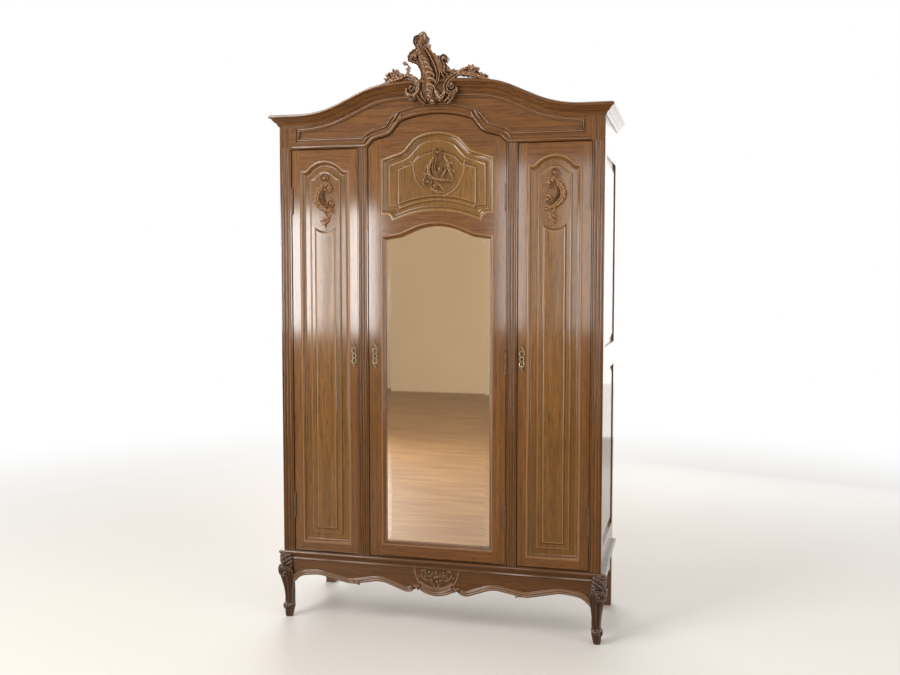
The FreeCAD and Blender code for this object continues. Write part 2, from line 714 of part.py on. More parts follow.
def shelves():
    side_low = f"({DIVIDER_MID} + partition_board / 2)"
    centre_high = f"({DIVIDER_MID} - partition_board / 2)"
    nodes = []
    battens = []
    shelf_deep = ("shelf_setback", f"{BACK_FRONT} - shelf_fit")
    batten_deep = ("post_depth", REAR_FRONT)
    for name, side in (("left", -1), ("right", 1)):
        boards = []
        for number, share in enumerate(SHELF_SHARES, start=1):
            level = f"({FLOOR_TOP} + {share} * (case_top - {FLOOR_TOP}))"
            boards.append(box(f"{name}_shelf_{number}",
                              flank(side, f"{side_low} + shelf_fit", f"{SIDE_IN} - shelf_fit"),
                              shelf_deep, (level, f"{level} + board")))
            for end, low, high in (("inner", side_low, f"{side_low} + batten"),
                                   ("outer", f"{SIDE_IN} - batten", SIDE_IN)):
                battens.append(box(f"{name}_batten_{number}_{end}", flank(side, low, high),
                                   batten_deep, (f"{level} - batten", level)))
        battens.append(box(f"{name}_hat_batten",
                           flank(side, f"{centre_high} - batten", centre_high), batten_deep,
                           (f"{HAT_SHELF} - batten", HAT_SHELF)))
        notch = box(f"{name}_shelf_notch", flank(side, f"{REAR_IN} - notch_fit", HALF),
                    (f"{REAR_FRONT} - notch_fit", "case_depth"), ("0", "case_top"))
        nodes.append(cut(f"{name}_shelves", together(f"{name}_shelf_boards", boards), notch))
    nodes.append(together("shelf_battens", battens))
    nodes.append(box("hat_shelf", (f"shelf_fit - {centre_high}", f"{centre_high} - shelf_fit"),
                     ("shelf_setback", f"{BACK_FRONT} - shelf_fit"),
                     (HAT_SHELF, f"{HAT_SHELF} + board")))
    middle = f"((divider_depth + {BACK_FRONT}) / 2)"
    across = V(1, 0, 0)
    nodes.append(rod("hanging_rail", "rail_radius", f"2 * ({centre_high} - rail_fit)",
                     f"rail_fit - {centre_high}", middle, RAIL_LEVEL, across))
    sockets = []
    for name, start in (("left", f"-{centre_high}"),
                        ("right", f"{centre_high} - socket_thickness")):
        cup = rod(f"{name}_socket_cup", "rail_radius + rail_fit + socket_wall",
                  "socket_thickness", start, middle, RAIL_LEVEL, across)
        bore = rod(f"{name}_socket_bore", "rail_radius + rail_fit",
                   "socket_thickness + 2 * overrun", f"{start} - overrun", middle, RAIL_LEVEL,
                   across)
        mouth = box(f"{name}_socket_mouth", (f"{start} - overrun",
                                             f"{start} + socket_thickness + overrun"),
                    (f"{middle} - rail_radius - rail_fit", f"{middle} + rail_radius + rail_fit"),
                    (RAIL_LEVEL,
                     f"{RAIL_LEVEL} + rail_radius + rail_fit + socket_wall + overrun"))
        sockets.append(cut(f"{name}_socket", cup, fused(f"{name}_socket_room", [bore, mouth])))
    nodes.append(together("rail_sockets", sockets))
    return nodes


def hinge(name, face, side, level):
    """A lift-off hinge: its lower knuckle and pin on the frame, its upper knuckle on the door.

    face is the frame's face that the leaf lies on; both leaves fill the gap at the door's edge.
    """
    axis = f"({face} - knuckle_radius - hinge_clearance)"
    place = axis if side > 0 else f"-{axis}"
    back = "(door_setback - knuckle_radius - hinge_clearance)"
    foot = f"({level} - hinge_length / 2)"
    head = f"({level} + hinge_length / 2)"
    lower = f"({level} - hinge_split / 2)"
    upper = f"({level} + hinge_split / 2)"
    frame_leaf = flank(side, f"{face} - leaf_thickness", face)
    door_leaf = flank(side, f"{face} - door_gap", f"{face} - door_gap + leaf_thickness")
    plate = ("door_setback", "door_setback + leaf_reach")
    tongue = (back, "door_setback")
    half = "hinge_length / 2 - hinge_split / 2"
    frame = fused(f"{name}_frame_half", [
        barrel(f"{name}_lower_knuckle", "knuckle_radius", half, place, back, foot),
        barrel(f"{name}_pin", "pin_radius", "pin_length + hinge_split / 2", place, back, lower),
        box(f"{name}_frame_tongue", frame_leaf, tongue, (foot, lower)),
        box(f"{name}_frame_plate", frame_leaf, plate, (foot, head))])
    door = fused(f"{name}_door_blank", [
        barrel(f"{name}_upper_knuckle", "knuckle_radius", half, place, back, upper),
        box(f"{name}_door_tongue", door_leaf, tongue, (upper, head)),
        box(f"{name}_door_plate", door_leaf, plate, (foot, head))])
    bore = barrel(f"{name}_bore", "pin_radius + pin_fit", "pin_length + pin_fit + hinge_split",
                  place, back, level)
    return frame, cut(f"{name}_door_half", door, bore)


def hinges(door, face, side, names):
    halves = [hinge(f"{door}_{name}", face, side, HINGE_LEVELS[name]) for name in names]
    frames = [frame for frame, leaf in halves]
    return frames, together(f"{door}_hinge_leaves", [leaf for frame, leaf in halves])


def lock(door, face, side):
    """A rim lock on the door's back and the bolt in it, drawn back clear of the stop."""
    edge = f"(({face}) + lock_clearance)"
    deep = (DOOR_BACK, f"({DOOR_BACK} + lock_depth)")
    bolt_front = f"({DOOR_BACK} + (lock_depth - bolt_thickness) / 2)"
    case = box(f"{door}_lock_blank", flank(side, edge, f"{edge} + lock_width"), deep,
               ("lock_level - lock_height / 2", "lock_level + lock_height / 2"))
    channel = box(f"{door}_lock_channel",
                  flank(side, f"{edge} - overrun", f"{edge} + lock_width - lock_wall"),
                  (f"{bolt_front} - bolt_fit", f"{bolt_front} + bolt_thickness + bolt_fit"),
                  ("lock_level - bolt_height / 2 - bolt_fit",
                   "lock_level + bolt_height / 2 + bolt_fit"))
    bolt = box(f"{door}_bolt", flank(side, f"{edge} + bolt_fit", f"{edge} + bolt_length"),
               (bolt_front, f"{bolt_front} + bolt_thickness"),
               ("lock_level - bolt_height / 2", "lock_level + bolt_height / 2"))
    return [cut(f"{door}_lock", case, channel), bolt]


def lock_plate(door, middle):
    """A shaped brass plate round the keyhole."""
    half = value("plate_width") / 2
    tall = value("plate_height") / 2
    level = value("lock_level")
    front = value("door_setback")
    thickness = value("plate_thickness")
    over = value("overrun")
    radius = value("keyhole_radius")
    across = value(middle)
    right = [(share * half, level + up * tall, round_share * half)
             for share, up, round_share in PLATE_SHARES]
    outline = moved(mirrored(right), across)
    plate = prism(outline, front - thickness, front)
    eye = Part.makeCylinder(radius, thickness + 2 * over, V(across, front - thickness - over, level),
                            V(0, 1, 0))
    slot = Part.makeBox(radius, thickness + 2 * over, value("keyhole_slot"),
                        V(across - radius / 2, front - thickness - over,
                          level - value("keyhole_slot")))
    return shaped(f"{door}_escutcheon", plate.cut(eye.fuse(slot)))


def keyed_stiles(door, stiles, middle):
    """The two stiles, with the keyhole bored through the one that carries the lock."""
    bore = rod(f"{door}_keyhole", "keyhole_radius + plate_thickness / 2",
               "door_thickness + 2 * overrun", middle, "door_setback - overrun", "lock_level",
               V(0, 1, 0))
    bored = cut(f"{door}_lock_stile", stiles[0], bore)
    return together(f"{door}_stiles", [bored, stiles[1]])


def framed_panel(outline, raise_outline, field_outline, field_slope):
    """A panel in its moulding: a sloped border, a raised middle and a fielded face."""
    face = value("door_setback")
    ground = face + value("moulding_drop") + value("plate_thickness")
    border = prism(outline, face, ground)
    border = border.cut(plug(outline, face, value("plate_thickness"), ground,
                             value("moulding_width")))
    board = prism(outline, ground, ground + value("panel_board"))
    step = value("raise_step")
    raised = prism(raise_outline, ground - step, ground)
    field = plug(field_outline, ground - step, -field_slope,
                 ground - step - value("field_step"), 0)
    return board.fuse([border, raised, field]).removeSplitter()


def side_doors():
    low = f"({DIVIDER_OUT} + door_gap)"
    high = f"({POST_IN} - door_gap)"
    deep = ("door_setback", DOOR_BACK)
    tall = (DOOR_FOOT, DOOR_HEAD)
    half = value(SIDE_PANEL_HALF)
    middle = value(SIDE_DOOR_MID)
    foot = value("base_top + side_panel_rise")
    outline = mirrored([(half, foot, 0)]
                       + scaled(SIDE_PANEL_HEAD_SHARES, half, value("case_top - side_shoulder_drop")))
    raise_half = SIDE_RAISE_SHARE * value(SIDE_PANEL_HALF)
    raise_outline = mirrored([(raise_half, value("base_top + side_raise_rise"), 0)]
                             + scaled(SIDE_RAISE_HEAD_SHARES, raise_half,
                                      value("case_top - side_raise_drop")))
    field_half = SIDE_FIELD_SHARE * value(SIDE_PANEL_HALF)
    field_outline = mirrored([(field_half, value("base_top + side_field_rise"), 0)]
                             + scaled(SIDE_FIELD_HEAD_SHARES, field_half,
                                      value("case_top - side_field_drop")))
    panel = framed_panel(outline, raise_outline, field_outline, value("field_slope"))
    rails = Part.makeBox(2 * half, value("door_thickness"), value(f"{DOOR_HEAD} - {DOOR_FOOT}"),
                         V(-half, value("door_setback"), value(DOOR_FOOT)))
    rails = rails.cut(prism(outline, 0, value(DOOR_BACK) + value("overrun")))
    nodes = []
    frames = []
    for name, side in (("left", -1), ("right", 1)):
        door = f"{name}_door"
        lock_stile = box(f"{door}_lock_stile_blank",
                         flank(side, low, f"{low} + side_stile"), deep, tall)
        hung_stile = box(f"{door}_hung_stile",
                         flank(side, f"{high} - side_stile", high), deep, tall)
        key = f"({low} + side_stile / 2)"
        key = key if side > 0 else f"-{key}"
        nodes.append(keyed_stiles(door, (lock_stile, hung_stile), key))
        nodes.append(shaped(f"{door}_rails", rails.translated(V(side * middle, 0, 0))))
        nodes.append(shaped(f"{door}_panel", panel.translated(V(side * middle, 0, 0))))
        nodes.append(lock_plate(door, key))
        halves, leaves = hinges(door, POST_IN, side, ("lower_hinge", "upper_hinge"))
        frames += halves
        nodes.append(leaves)
        nodes += lock(door, SIDE_STOP_FACE, side)
    return nodes, frames


def arch_head():
    return scaled(ARCH_SHARES, value("centre_half"), value("case_top"))


def centre_opening():
    return mirrored([(value("centre_half"), value("base_top"), 0)] + arch_head())


def centre_door():
    deep = ("door_setback", DOOR_BACK)
    half = value(CENTRE_PANEL_HALF)
    front = value("door_setback")
    rear = value(DOOR_BACK)
    over = value("overrun")
    foot = value("case_top - centre_panel_drop")
    shoulder = value("case_top - centre_shoulder_drop")
    outline = mirrored(scaled(CENTRE_FOOT_SHARES, half, foot)
                       + scaled(CENTRE_HEAD_SHARES, half, shoulder))
    field_half = CENTRE_FIELD_SHARE * value(CENTRE_PANEL_HALF)
    foot = value("case_top - centre_field_drop")
    head = value("case_top - centre_field_head_drop")
    field = mirrored(scaled(CENTRE_FIELD_FOOT_SHARES, field_half, foot)
                     + scaled(CENTRE_FIELD_HEAD_SHARES, field_half, head))
    mirror = mirrored([(half, value("base_top + mirror_rise"), 0)]
                      + scaled(MIRROR_HEAD_SHARES, half, value("case_top - mirror_drop")))
    door = prism(inset(centre_opening(), value("door_gap")), front, rear)
    top = value("case_top + centre_half")
    middle_room = level_prism([(-half, -over), (half, -over), (half, rear + over),
                               (-half, rear + over)], 0, top)
    frame = door.cut(prism(outline, front - over, rear + over))
    frame = frame.cut(prism(mirror, front - over, rear + over))
    key = "(centre_half - door_gap - centre_stile / 2)"
    bore = Part.makeCylinder(value("keyhole_radius + plate_thickness / 2"), rear - front + 2 * over,
                             V(-value(key), front - over, value("lock_level")), V(0, 1, 0))
    stiles = shaped("centre_door_stiles", Part.Compound(frame.cut(middle_room).cut(bore).Solids))
    rails = shaped("centre_door_rails", Part.Compound(frame.common(middle_room).Solids))
    panel = shaped("centre_door_panel",
                   framed_panel(outline, inset(outline, value("centre_raise_inset")), field,
                                value("centre_field_slope")))
    sink = front + value("mirror_sink")
    slope = value("mirror_moulding")
    border = prism(mirror, front, sink).cut(plug(mirror, front, value("plate_thickness"), sink,
                                                 slope))
    lap = slope - value("mirror_lap")
    glass_back = sink + value("glass_thickness")
    bevel = value("bevel_drop")
    glass = prism(inset(mirror, lap), sink + bevel, glass_back)
    glass = glass.fuse(plug(mirror, sink + bevel, lap, sink,
                            lap + value("glass_bevel"))).removeSplitter()
    backing = prism(inset(mirror, value("backing_fit")), glass_back,
                    glass_back + value("backing_board"))
    frames, leaves = hinges("centre_door", "centre_half", 1,
                            ("lower_hinge", "middle_hinge", "upper_hinge"))
    nodes = [stiles, rails, panel, shaped("mirror_moulding", border),
             shaped("mirror_glass", glass), shaped("mirror_backing", backing),
             lock_plate("centre_door", f"-{key}"),
             leaves]
    nodes += lock("centre_door", CENTRE_STOP_FACE, 1)
    return nodes, frames


def cornice_run(up):
    """The right half of the cornice's line, raised by some height."""
    return moved(scaled(CORNICE_SHARES, value(HALF), value(CORNICE_FOOT)), 0, up)


def below_cornice(up, depth, end):
    """The room below the cornice's line, grown outwards by some height."""
    side = value(HALF) + value("cornice_proud")
    foot = value("case_top")
    corners = mirrored([(side, foot, 0), (side, value(CORNICE_FOOT), 0)] + cornice_run(0))
    return prism(inset(corners, -up), depth, end)


def frieze():
    """The board over the doors: arched over the centre door, with a sunk field and a bead."""
    inner = value(POST_IN)
    depth = value("frieze_depth")
    over = value("overrun")
    foot = value("case_top")
    rise = value("block_rise")
    head = [(inner, value(BLOCK_TOP), 0)] + cornice_run(rise)
    board = prism(mirrored([(inner, foot, 0)] + head), 0, depth)
    board = board.cut(prism(centre_opening(), -over, value(STOP)))
    arched = mirrored(list(reversed(arch_head())) + [(inner, foot, 0)] + head)
    field = prism(inset(arched, value("frieze_frame")), -over, value("frieze_sink"))
    field = field.common(below_cornice(-value("frieze_sink"), -over, depth))
    board = board.cut(field)
    bead = value("frieze_bead")
    line = inset(arched, bead / 2)
    run = line[:len(ARCH_SHARES) + 1]
    path = [(-across, up, radius) for across, up, radius in reversed(run)] + run[1:]
    edges = rounded(path, lambda across, up: V(across, 0, up), closed=False)
    start = path[0]
    proud = value("frieze_bead_proud")
    points = [V(start[0], -out * proud, start[1] + up * bead)
              for out, up in BEAD_SECTION_SHARES]
    section = Part.makePolygon(points + points[:1])
    swept = Part.Wire([edge.toShape() for edge in edges]).makePipeShell([section], True, False)
    return [shaped("frieze", board), shaped("frieze_bead", swept)]


def frieze_blocks():
    """The blocks over the corner posts, each with two sunk flutes that end in points."""
    inner = value(POST_IN)
    half = value(HALF)
    foot = value("case_top")
    top = value(BLOCK_TOP)
    block = Part.makeBox(half - inner, value("post_depth"), top - foot, V(inner, 0, foot))
    radius = value("flute_width") / 2
    sink = value("flute_sink")
    margin = value("flute_margin")
    low = foot + margin
    high = value(CORNICE_FOOT) - margin
    for share in FLUTE_SHARES:
        across = inner + share * (half - inner)
        sides = [Part.Arc(V(across, 0, start), V(across + bulge, 0, (low + high) / 2),
                          V(across, 0, end)).toShape()
                 for start, end, bulge in ((low, high, radius), (high, low, -radius))]
        block = block.cut(Part.Face(Part.Wire(sides)).extrude(V(0, sink, 0)))
    return [shaped("frieze_blocks", Part.Compound([block, reflected(block)]))]


def top_frame():
    """The boards behind the side and rear of the cornice, and the case's ceiling."""
    deep = ("post_depth", "case_depth - frieze_top_board")
    tall = ("case_top", BLOCK_TOP)
    boards = [box(f"{name}_top_side", flank(side, SIDE_IN, HALF), deep, tall)
              for name, side in (("left", -1), ("right", 1))]
    boards.append(box("rear_top_board", (f"-{HALF}", HALF),
                      ("case_depth - frieze_top_board", "case_depth"), tall))
    ceiling = box("ceiling_blank", (f"-{SIDE_IN}", SIDE_IN),
                  ("frieze_depth", "case_depth - frieze_top_board"),
                  ("case_top", "case_top + board"))
    notches = [box(f"{name}_ceiling_notch", flank(side, f"{POST_IN} - notch_fit", HALF),
                   ("0", "post_depth + notch_fit"),
                   ("case_top - overrun", "case_top + board + overrun"))
               for name, side in (("left", -1), ("right", 1))]
    return [together("top_frame", boards),
            cut("top_board", ceiling, fused("ceiling_notches", notches))]


def cornice():
    """The serpentine moulding across the front and its straight mitred returns."""
    half = value(HALF)
    reach = value("cornice_proud")
    height = value("cornice_height")
    foot = value(CORNICE_FOOT)
    over = value("overrun")
    depth = value("case_depth")
    end = half + reach + over
    front_room, side_room = mitre_regions(half, 0, reach + over, value("case_top"),
                                          foot + half)
    run = cornice_run(0)
    path = [(-end, foot, 0)] + [(-across, up, radius) for across, up, radius in run]
    path += list(reversed(run))[1:] + [(end, foot, 0)]
    edges = rounded(path, lambda across, up: V(across, 0, up), closed=False)
    points = [V(-end, -out * reach, foot + up * height) for out, up in CORNICE_SECTION_SHARES]
    section = Part.makePolygon(points + points[:1])
    swept = Part.Wire([edge.toShape() for edge in edges]).makePipeShell([section], True, False)
    front = swept.common(front_room)
    side = section_prism(CORNICE_SECTION_SHARES, reach, height,
                         lambda out, up: V(half + out, -reach - over, foot + up),
                         V(0, depth + reach + over, 0)).common(side_room)
    return [shaped("cornice_front", front),
            shaped("cornice_sides", Part.Compound([side, reflected(side)]))]


def crest():
    """The pierced crest, cut to sit over the cornice and against the frieze."""
    height = value("crest_height")
    foot = value(CORNICE_FOOT) + value("crest_rise")
    fit = value("crest_fit")
    over = value("overrun")
    shift = CREST_MIDDLE_SHARE * height
    front = -value("crest_front")
    body = prism(moved(scaled(CREST_SHARES, height, foot), shift), front, -fit)
    eye = prism(moved(scaled(CREST_EYE_SHARES, height, foot), shift), front - over, over)
    band = below_cornice(value("cornice_height") + fit, -value("cornice_proud") - fit, over)
    band = band.cut(below_cornice(-fit, -value("crest_front"), 2 * over))
    return [shaped("crest", body.cut(eye).cut(band))]


nodes = posts() + dividers() + legs() + aprons() + base_moulding() + floor_board()
nodes += side_frames() + back() + shelves()
side_nodes, side_halves = side_doors()
centre_nodes, centre_halves = centre_door()
nodes += side_nodes + centre_nodes
nodes.append(together("frame_hinge_leaves", side_halves + centre_halves))
nodes += frieze() + frieze_blocks() + top_frame() + cornice() + crest()

doc.recompute()
for item in doc.Objects:
    if "Invalid" in item.State or "Error" in item.State:
        raise RuntimeError(f"{item.Label} failed: {item.State}")
os.makedirs("parts", exist_ok=True)
for node in nodes:
    if node.Shape.isNull() or not node.Shape.isValid() or not node.Shape.Solids:
        raise RuntimeError(f"{node.Label} has no valid shape")
for node in nodes:
    node.Shape.exportStep(f"parts/{node.Label}.step")
print(len(nodes), "sub-parts written")
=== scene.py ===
"""Looks of a tall three-door oak wardrobe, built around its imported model."""

import math

import bmesh
import bpy
import numpy as np
from bpy.props import FloatProperty, FloatVectorProperty, PointerProperty
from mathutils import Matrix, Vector


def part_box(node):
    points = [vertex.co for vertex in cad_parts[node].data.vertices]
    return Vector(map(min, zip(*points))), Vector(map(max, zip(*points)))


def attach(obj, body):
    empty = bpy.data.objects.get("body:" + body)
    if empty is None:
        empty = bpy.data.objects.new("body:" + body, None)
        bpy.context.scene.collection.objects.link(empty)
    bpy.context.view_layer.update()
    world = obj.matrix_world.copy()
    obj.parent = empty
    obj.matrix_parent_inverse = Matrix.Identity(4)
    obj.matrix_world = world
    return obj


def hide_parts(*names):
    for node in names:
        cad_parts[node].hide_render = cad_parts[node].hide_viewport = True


bl_info = {
    "name": "Oak Wardrobe",
    "version": (1, 0, 0),
    "blender": (4, 5, 0),
    "location": "View3D > Sidebar > Wardrobe",
    "description": "Dresses a three-door wardrobe with its wood, glass, metal and carving",
    "category": "Object",
}

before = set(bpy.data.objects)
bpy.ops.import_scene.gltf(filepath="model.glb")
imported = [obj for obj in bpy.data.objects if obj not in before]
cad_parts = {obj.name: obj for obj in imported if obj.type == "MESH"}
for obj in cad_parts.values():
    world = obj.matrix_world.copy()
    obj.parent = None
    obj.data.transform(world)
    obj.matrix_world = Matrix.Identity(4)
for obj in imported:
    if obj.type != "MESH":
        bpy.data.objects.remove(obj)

# Outlines, mouldings and carving are in millimetres, and what Blender takes is in metres.
MM = 0.001

# The front of the frieze's blocks, the plane that panels and carving are measured out from.
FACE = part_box("frieze_blocks")[0].y

# The camera's place, in millimetres.
EYE = (1036.9, -4102.8, 1494.1)


# Wood, glass and metal

class Flow:
    """One node output, which arithmetic turns into Math nodes."""

    def __init__(self, recipe, socket):
        self.recipe = recipe
        self.socket = socket

    def _math(self, operation, *values):
        return self.recipe.add("ShaderNodeMath", {"operation": operation}, values)

    def __add__(self, other):
        return self._math("ADD", self, other)

    def __radd__(self, other):
        return self._math("ADD", other, self)

    def __sub__(self, other):
        return self._math("SUBTRACT", self, other)

    def __rsub__(self, other):
        return self._math("SUBTRACT", other, self)

    def __mul__(self, other):
        return self._math("MULTIPLY", self, other)

    def __rmul__(self, other):
        return self._math("MULTIPLY", other, self)

    def __pow__(self, other):
        return self._math("POWER", self, other)

    def __rpow__(self, other):
        return self._math("POWER", other, self)

    def absolute(self):
        return self._math("ABSOLUTE", self)

    def sine(self):
        return self._math("SINE", self)

    def most(self, other):
        return self._math("MAXIMUM", self, other)

    def between(self, low, high):
        """0 below low and 1 above high, with a soft step between them."""
        return self.recipe.add("ShaderNodeMapRange", {"interpolation_type": "SMOOTHSTEP"},
                               {"Value": self, "From Min": low, "From Max": high})


class Recipe:
    """One procedural material or sky, filled in node by node."""

    def __init__(self, name, kind="materials", shader="Principled BSDF"):
        self.block = getattr(bpy.data, kind).new(name)
        self.block.use_nodes = True
        self.tree = self.block.node_tree
        self.shader = self.tree.nodes[shader]

    def add(self, kind, settings=None, inputs=None, output=0):
        """Adds a node with its settings and inputs, and returns one of its outputs."""
        node = self.tree.nodes.new(kind)
        for name, setting in (settings or {}).items():
            setattr(node, name, setting)
        entries = inputs.items() if isinstance(inputs, dict) else enumerate(inputs or ())
        for name, entry in entries:
            self.feed(node.inputs[name], entry)
        return Flow(self, node.outputs[output])

    def feed(self, socket, entry):
        """Links a flow to a socket, or sets the socket's value."""
        if isinstance(entry, Flow):
            self.tree.links.new(entry.socket, socket)
        elif entry is not None:
            if hasattr(entry, "__len__") and len(entry) == 3 and socket.type == "RGBA":
                entry = (*entry, 1)
            socket.default_value = entry

    def place(self):
        """The three coordinates of a point of the piece, in metres."""
        spot = self.add("ShaderNodeTexCoord", output="Object")
        return [self.add("ShaderNodeSeparateXYZ", None, [spot], axis) for axis in "XYZ"]

    def vector(self, x, y, z):
        return self.add("ShaderNodeCombineXYZ", None, [x, y, z])

    def noise(self, vector, scale=1.0, detail=2.0, seed=0.0, rough=0.5):
        """Cloudy noise around 0.5, another one for each seed."""
        return self.add("ShaderNodeTexNoise", {"noise_dimensions": "4D"},
                        {"Vector": vector, "W": seed, "Scale": scale, "Detail": detail,
                         "Roughness": rough})

    def mix(self, share, first, second):
        """Two colours blended. A Mix node's colours are its sockets 6 and 7, and its output 2."""
        return self.add("ShaderNodeMix", {"data_type": "RGBA"},
                        {0: share, 6: first, 7: second}, 2)

    def bump(self, height, distance, strength):
        return self.add("ShaderNodeBump", None,
                        {"Strength": strength, "Distance": distance, "Height": height})

    def finish(self, **sockets):
        """Feeds the surface shader's sockets, named with an underscore for each space."""
        for name, entry in sockets.items():
            self.feed(self.shader.inputs[name.replace("_", " ")], entry)
        return self.block


def scaled(colour, share, lift=0.0):
    """A colour with its parts multiplied by a share and lifted."""
    return tuple(share * part + lift for part in colour)


def grain_axes(recipe, along):
    """Two coordinates across the grain and one along it."""
    x, y, z = recipe.place()
    return {"x": (z, y, x), "y": (z, x, y), "z": (x, y, z)}[along]


def oak(name, along, tones, seed, heart=None, gloss=None, hollows=False):
    """Open-grained oak under old varnish, its grain running along one axis.

    tones are its deep, middle and pale colours. heart is how far from the wardrobe's middle the
    arches of a flat-sawn figure stand. hollows paints grime and painted shade into a piece's own
    grooves, and paints its ridges pale with worn varnish and a painted highlight, as the piece's
    attribute tells.
    """
    if gloss is None:
        gloss = bpy.context.scene.wardrobe_wood.varnish
    recipe = Recipe(name)
    across, through, length = grain_axes(recipe, along)
    deep, middle, pale = tones
    # The colour of grime in the pores, and also of the painted shade in grooves.
    dirt_and_shade = scaled(deep, 0.3)

    def figure(start, fine, drawn_out, detail, shift, rough=0.5):
        """Noise with one scale across the grain and another along it."""
        spot = recipe.vector(start * fine, through * fine, length * drawn_out)
        return recipe.noise(spot, 1, detail, seed + shift, rough)

    wander = figure(across, 5, 1.3, 2, 0)
    drift = across + (wander - 0.5) * 0.02
    if heart is None:
        band = recipe.vector(drift * 130, through * 60, length * 1.1)
        ring = recipe.noise(band, 1, 4, seed + 5, 0.6).between(0.42, 0.66)
        depth = 0.34
    else:
        offset = across.absolute() - heart
        arches = offset * offset * 5200 - length * 9 + wander * 26
        ring = (arches.sine() * 0.5 + 0.5) ** 2
        depth = 0.2
    fibre = figure(drift, 620, 7, 3, 3)
    pore = figure(drift, 1300, 26, 1, 7).between(0.56, 0.7) * (ring * 0.6 + 0.4)
    patch = figure(across, 3.5, 0.8, 3, 11).between(0.25, 0.75)
    cloud = figure(across, 16, 5, 3, 13)
    fleck = figure(drift, 210, 17, 2, 17, 0.55).between(0.5, 0.68)
    body = recipe.mix(fibre.between(0.3, 0.72) * 0.7, middle, pale)
    body = recipe.mix(ring * depth, body, deep)
    body = recipe.mix(patch * 0.45, body, recipe.mix(0.5, middle, deep))
    body = recipe.mix(fleck * 0.4, body, deep)
    body = recipe.mix(pore * 0.85, body, dirt_and_shade)
    # Upright boards are painted darker towards the floor: painted shade for light that falls from
    # above.
    if along == "z":
        body = recipe.mix(0.24 - length.between(0.2, 1.5) * 0.24, body, deep)
    shine = fibre * 0.1 + pore * 0.2 + fleck * 0.12 + cloud * 0.14 + (0.5 - 0.3 * gloss)
    relief = fibre * 0.25 - pore - fleck * 0.7 - ring * 0.3
    if hollows:
        hollow = recipe.add("ShaderNodeAttribute", {"attribute_name": "hollow"}, output="Fac")
        # Grooves are painted dark: grime and painted shade.
        dark = hollow.between(0.54, 0.84)
        # Ridges are painted pale: worn varnish and a painted highlight.
        worn = 1 - hollow.between(0.14, 0.42)
        body = recipe.mix(dark * 0.85, body, dirt_and_shade)
        body = recipe.mix(worn * 0.5, body, scaled(pale, 1.2, 0.08))
        shine = shine + dark * 0.3 - worn * 0.12
    return recipe.finish(Base_Color=body, Roughness=shine.most(0.12), Coat_Weight=gloss,
                         Coat_Roughness=0.1, Specular_IOR_Level=0.2,
                         Specular_Tint=(1.0, 0.86, 0.68),
                         Normal=recipe.bump(relief, 0.0006, 0.6))


def aged_metal(name, clean, dull, rough, seed):
    """Old polished metal with brown tarnish in patches and fine scratches."""
    recipe = Recipe(name)
    x, y, z = recipe.place()
    spot = recipe.vector(x, y, z)
    patch = recipe.noise(spot, 55, 4, seed, 0.65).between(0.42, 0.68)
    speck = recipe.noise(spot, 420, 2, seed + 2).between(0.55, 0.75)
    scratch = recipe.noise(recipe.vector(x * 900, y * 900, z * 60), 1, 2, seed + 4)
    shade = recipe.mix(patch * 0.75, clean, dull)
    shade = recipe.mix(speck * 0.5, shade, scaled(dull, 0.4))
    return recipe.finish(Base_Color=shade, Metallic=1 - patch * 0.25,
                         Roughness=patch * 0.22 + speck * 0.15 + scratch * 0.1 + rough,
                         Normal=recipe.bump(scratch * 0.4 + patch * 0.6, 0.0003, 0.35))


def silvered_glass(name):
    """Old mirror glass: clear silvering with a faint veil and dark specks near its edges."""
    recipe = Recipe(name)
    x, y, z = recipe.place()
    spot = recipe.vector(x, y, z)
    veil = recipe.noise(spot, 3.2, 4, 2.0, 0.6).between(0.35, 0.8)
    speck = recipe.noise(spot, 260, 2, 5.0).between(0.7, 0.76)
    edge = (x.absolute() - 0.2).between(0.0, 0.02)
    shade = recipe.mix(veil * 0.5, (0.80, 0.78, 0.74), (0.72, 0.69, 0.64))
    shade = recipe.mix(speck * 0.7 * edge, shade, (0.12, 0.10, 0.08))
    return recipe.finish(Base_Color=shade, Metallic=1.0,
                         Roughness=veil * 0.03 + speck * 0.1 + 0.015)


def plain_floor(tone):
    """A matt floor that turns white far away, and that the mirror shows as brown boards."""
    recipe = Recipe("plain_floor")
    x, y, z = recipe.place()
    speckle = recipe.noise(recipe.vector(x, y, z), 60, 3, 1.0)
    shade = recipe.mix(speckle * 0.12, tone, scaled(tone, 0.8))
    streak = recipe.noise(recipe.vector(x * 2, y * 14, z), 1, 4, 2.0, 0.6)
    boards = recipe.mix(streak.between(0.3, 0.7), (0.38, 0.21, 0.09), (0.24, 0.125, 0.05))
    reflected = recipe.add("ShaderNodeLightPath", output="Is Glossy Ray")
    shade = recipe.mix(reflected * (0 - y).between(0.1, 0.5), shade, boards)
    recipe.finish(Base_Color=shade, Roughness=speckle * 0.1 + 0.5)
    white = recipe.add("ShaderNodeEmission", None, {"Color": (1, 1, 1, 1), "Strength": 1.0})
    seen = recipe.add("ShaderNodeLightPath", output="Is Camera Ray")
    far = ((x * x + y * y) ** 0.5).between(1.6, 5.5)
    blend = recipe.add("ShaderNodeMixShader", None,
                       {0: far * seen, 1: Flow(recipe, recipe.shader.outputs[0]), 2: white})
    recipe.feed(recipe.tree.nodes["Material Output"].inputs["Surface"], blend)
    return recipe.block


def plain_backdrop():
    """A plain tan wall, for the mirror to show."""
    recipe = Recipe("plain_backdrop")
    tone = recipe.noise(recipe.vector(*recipe.place()), 0.6, 3, 4.0).between(0.2, 0.8)
    shade = recipe.mix(tone * 0.4, (0.80, 0.56, 0.34), (0.70, 0.47, 0.27))
    return recipe.finish(Base_Color=shade, Roughness=0.8)


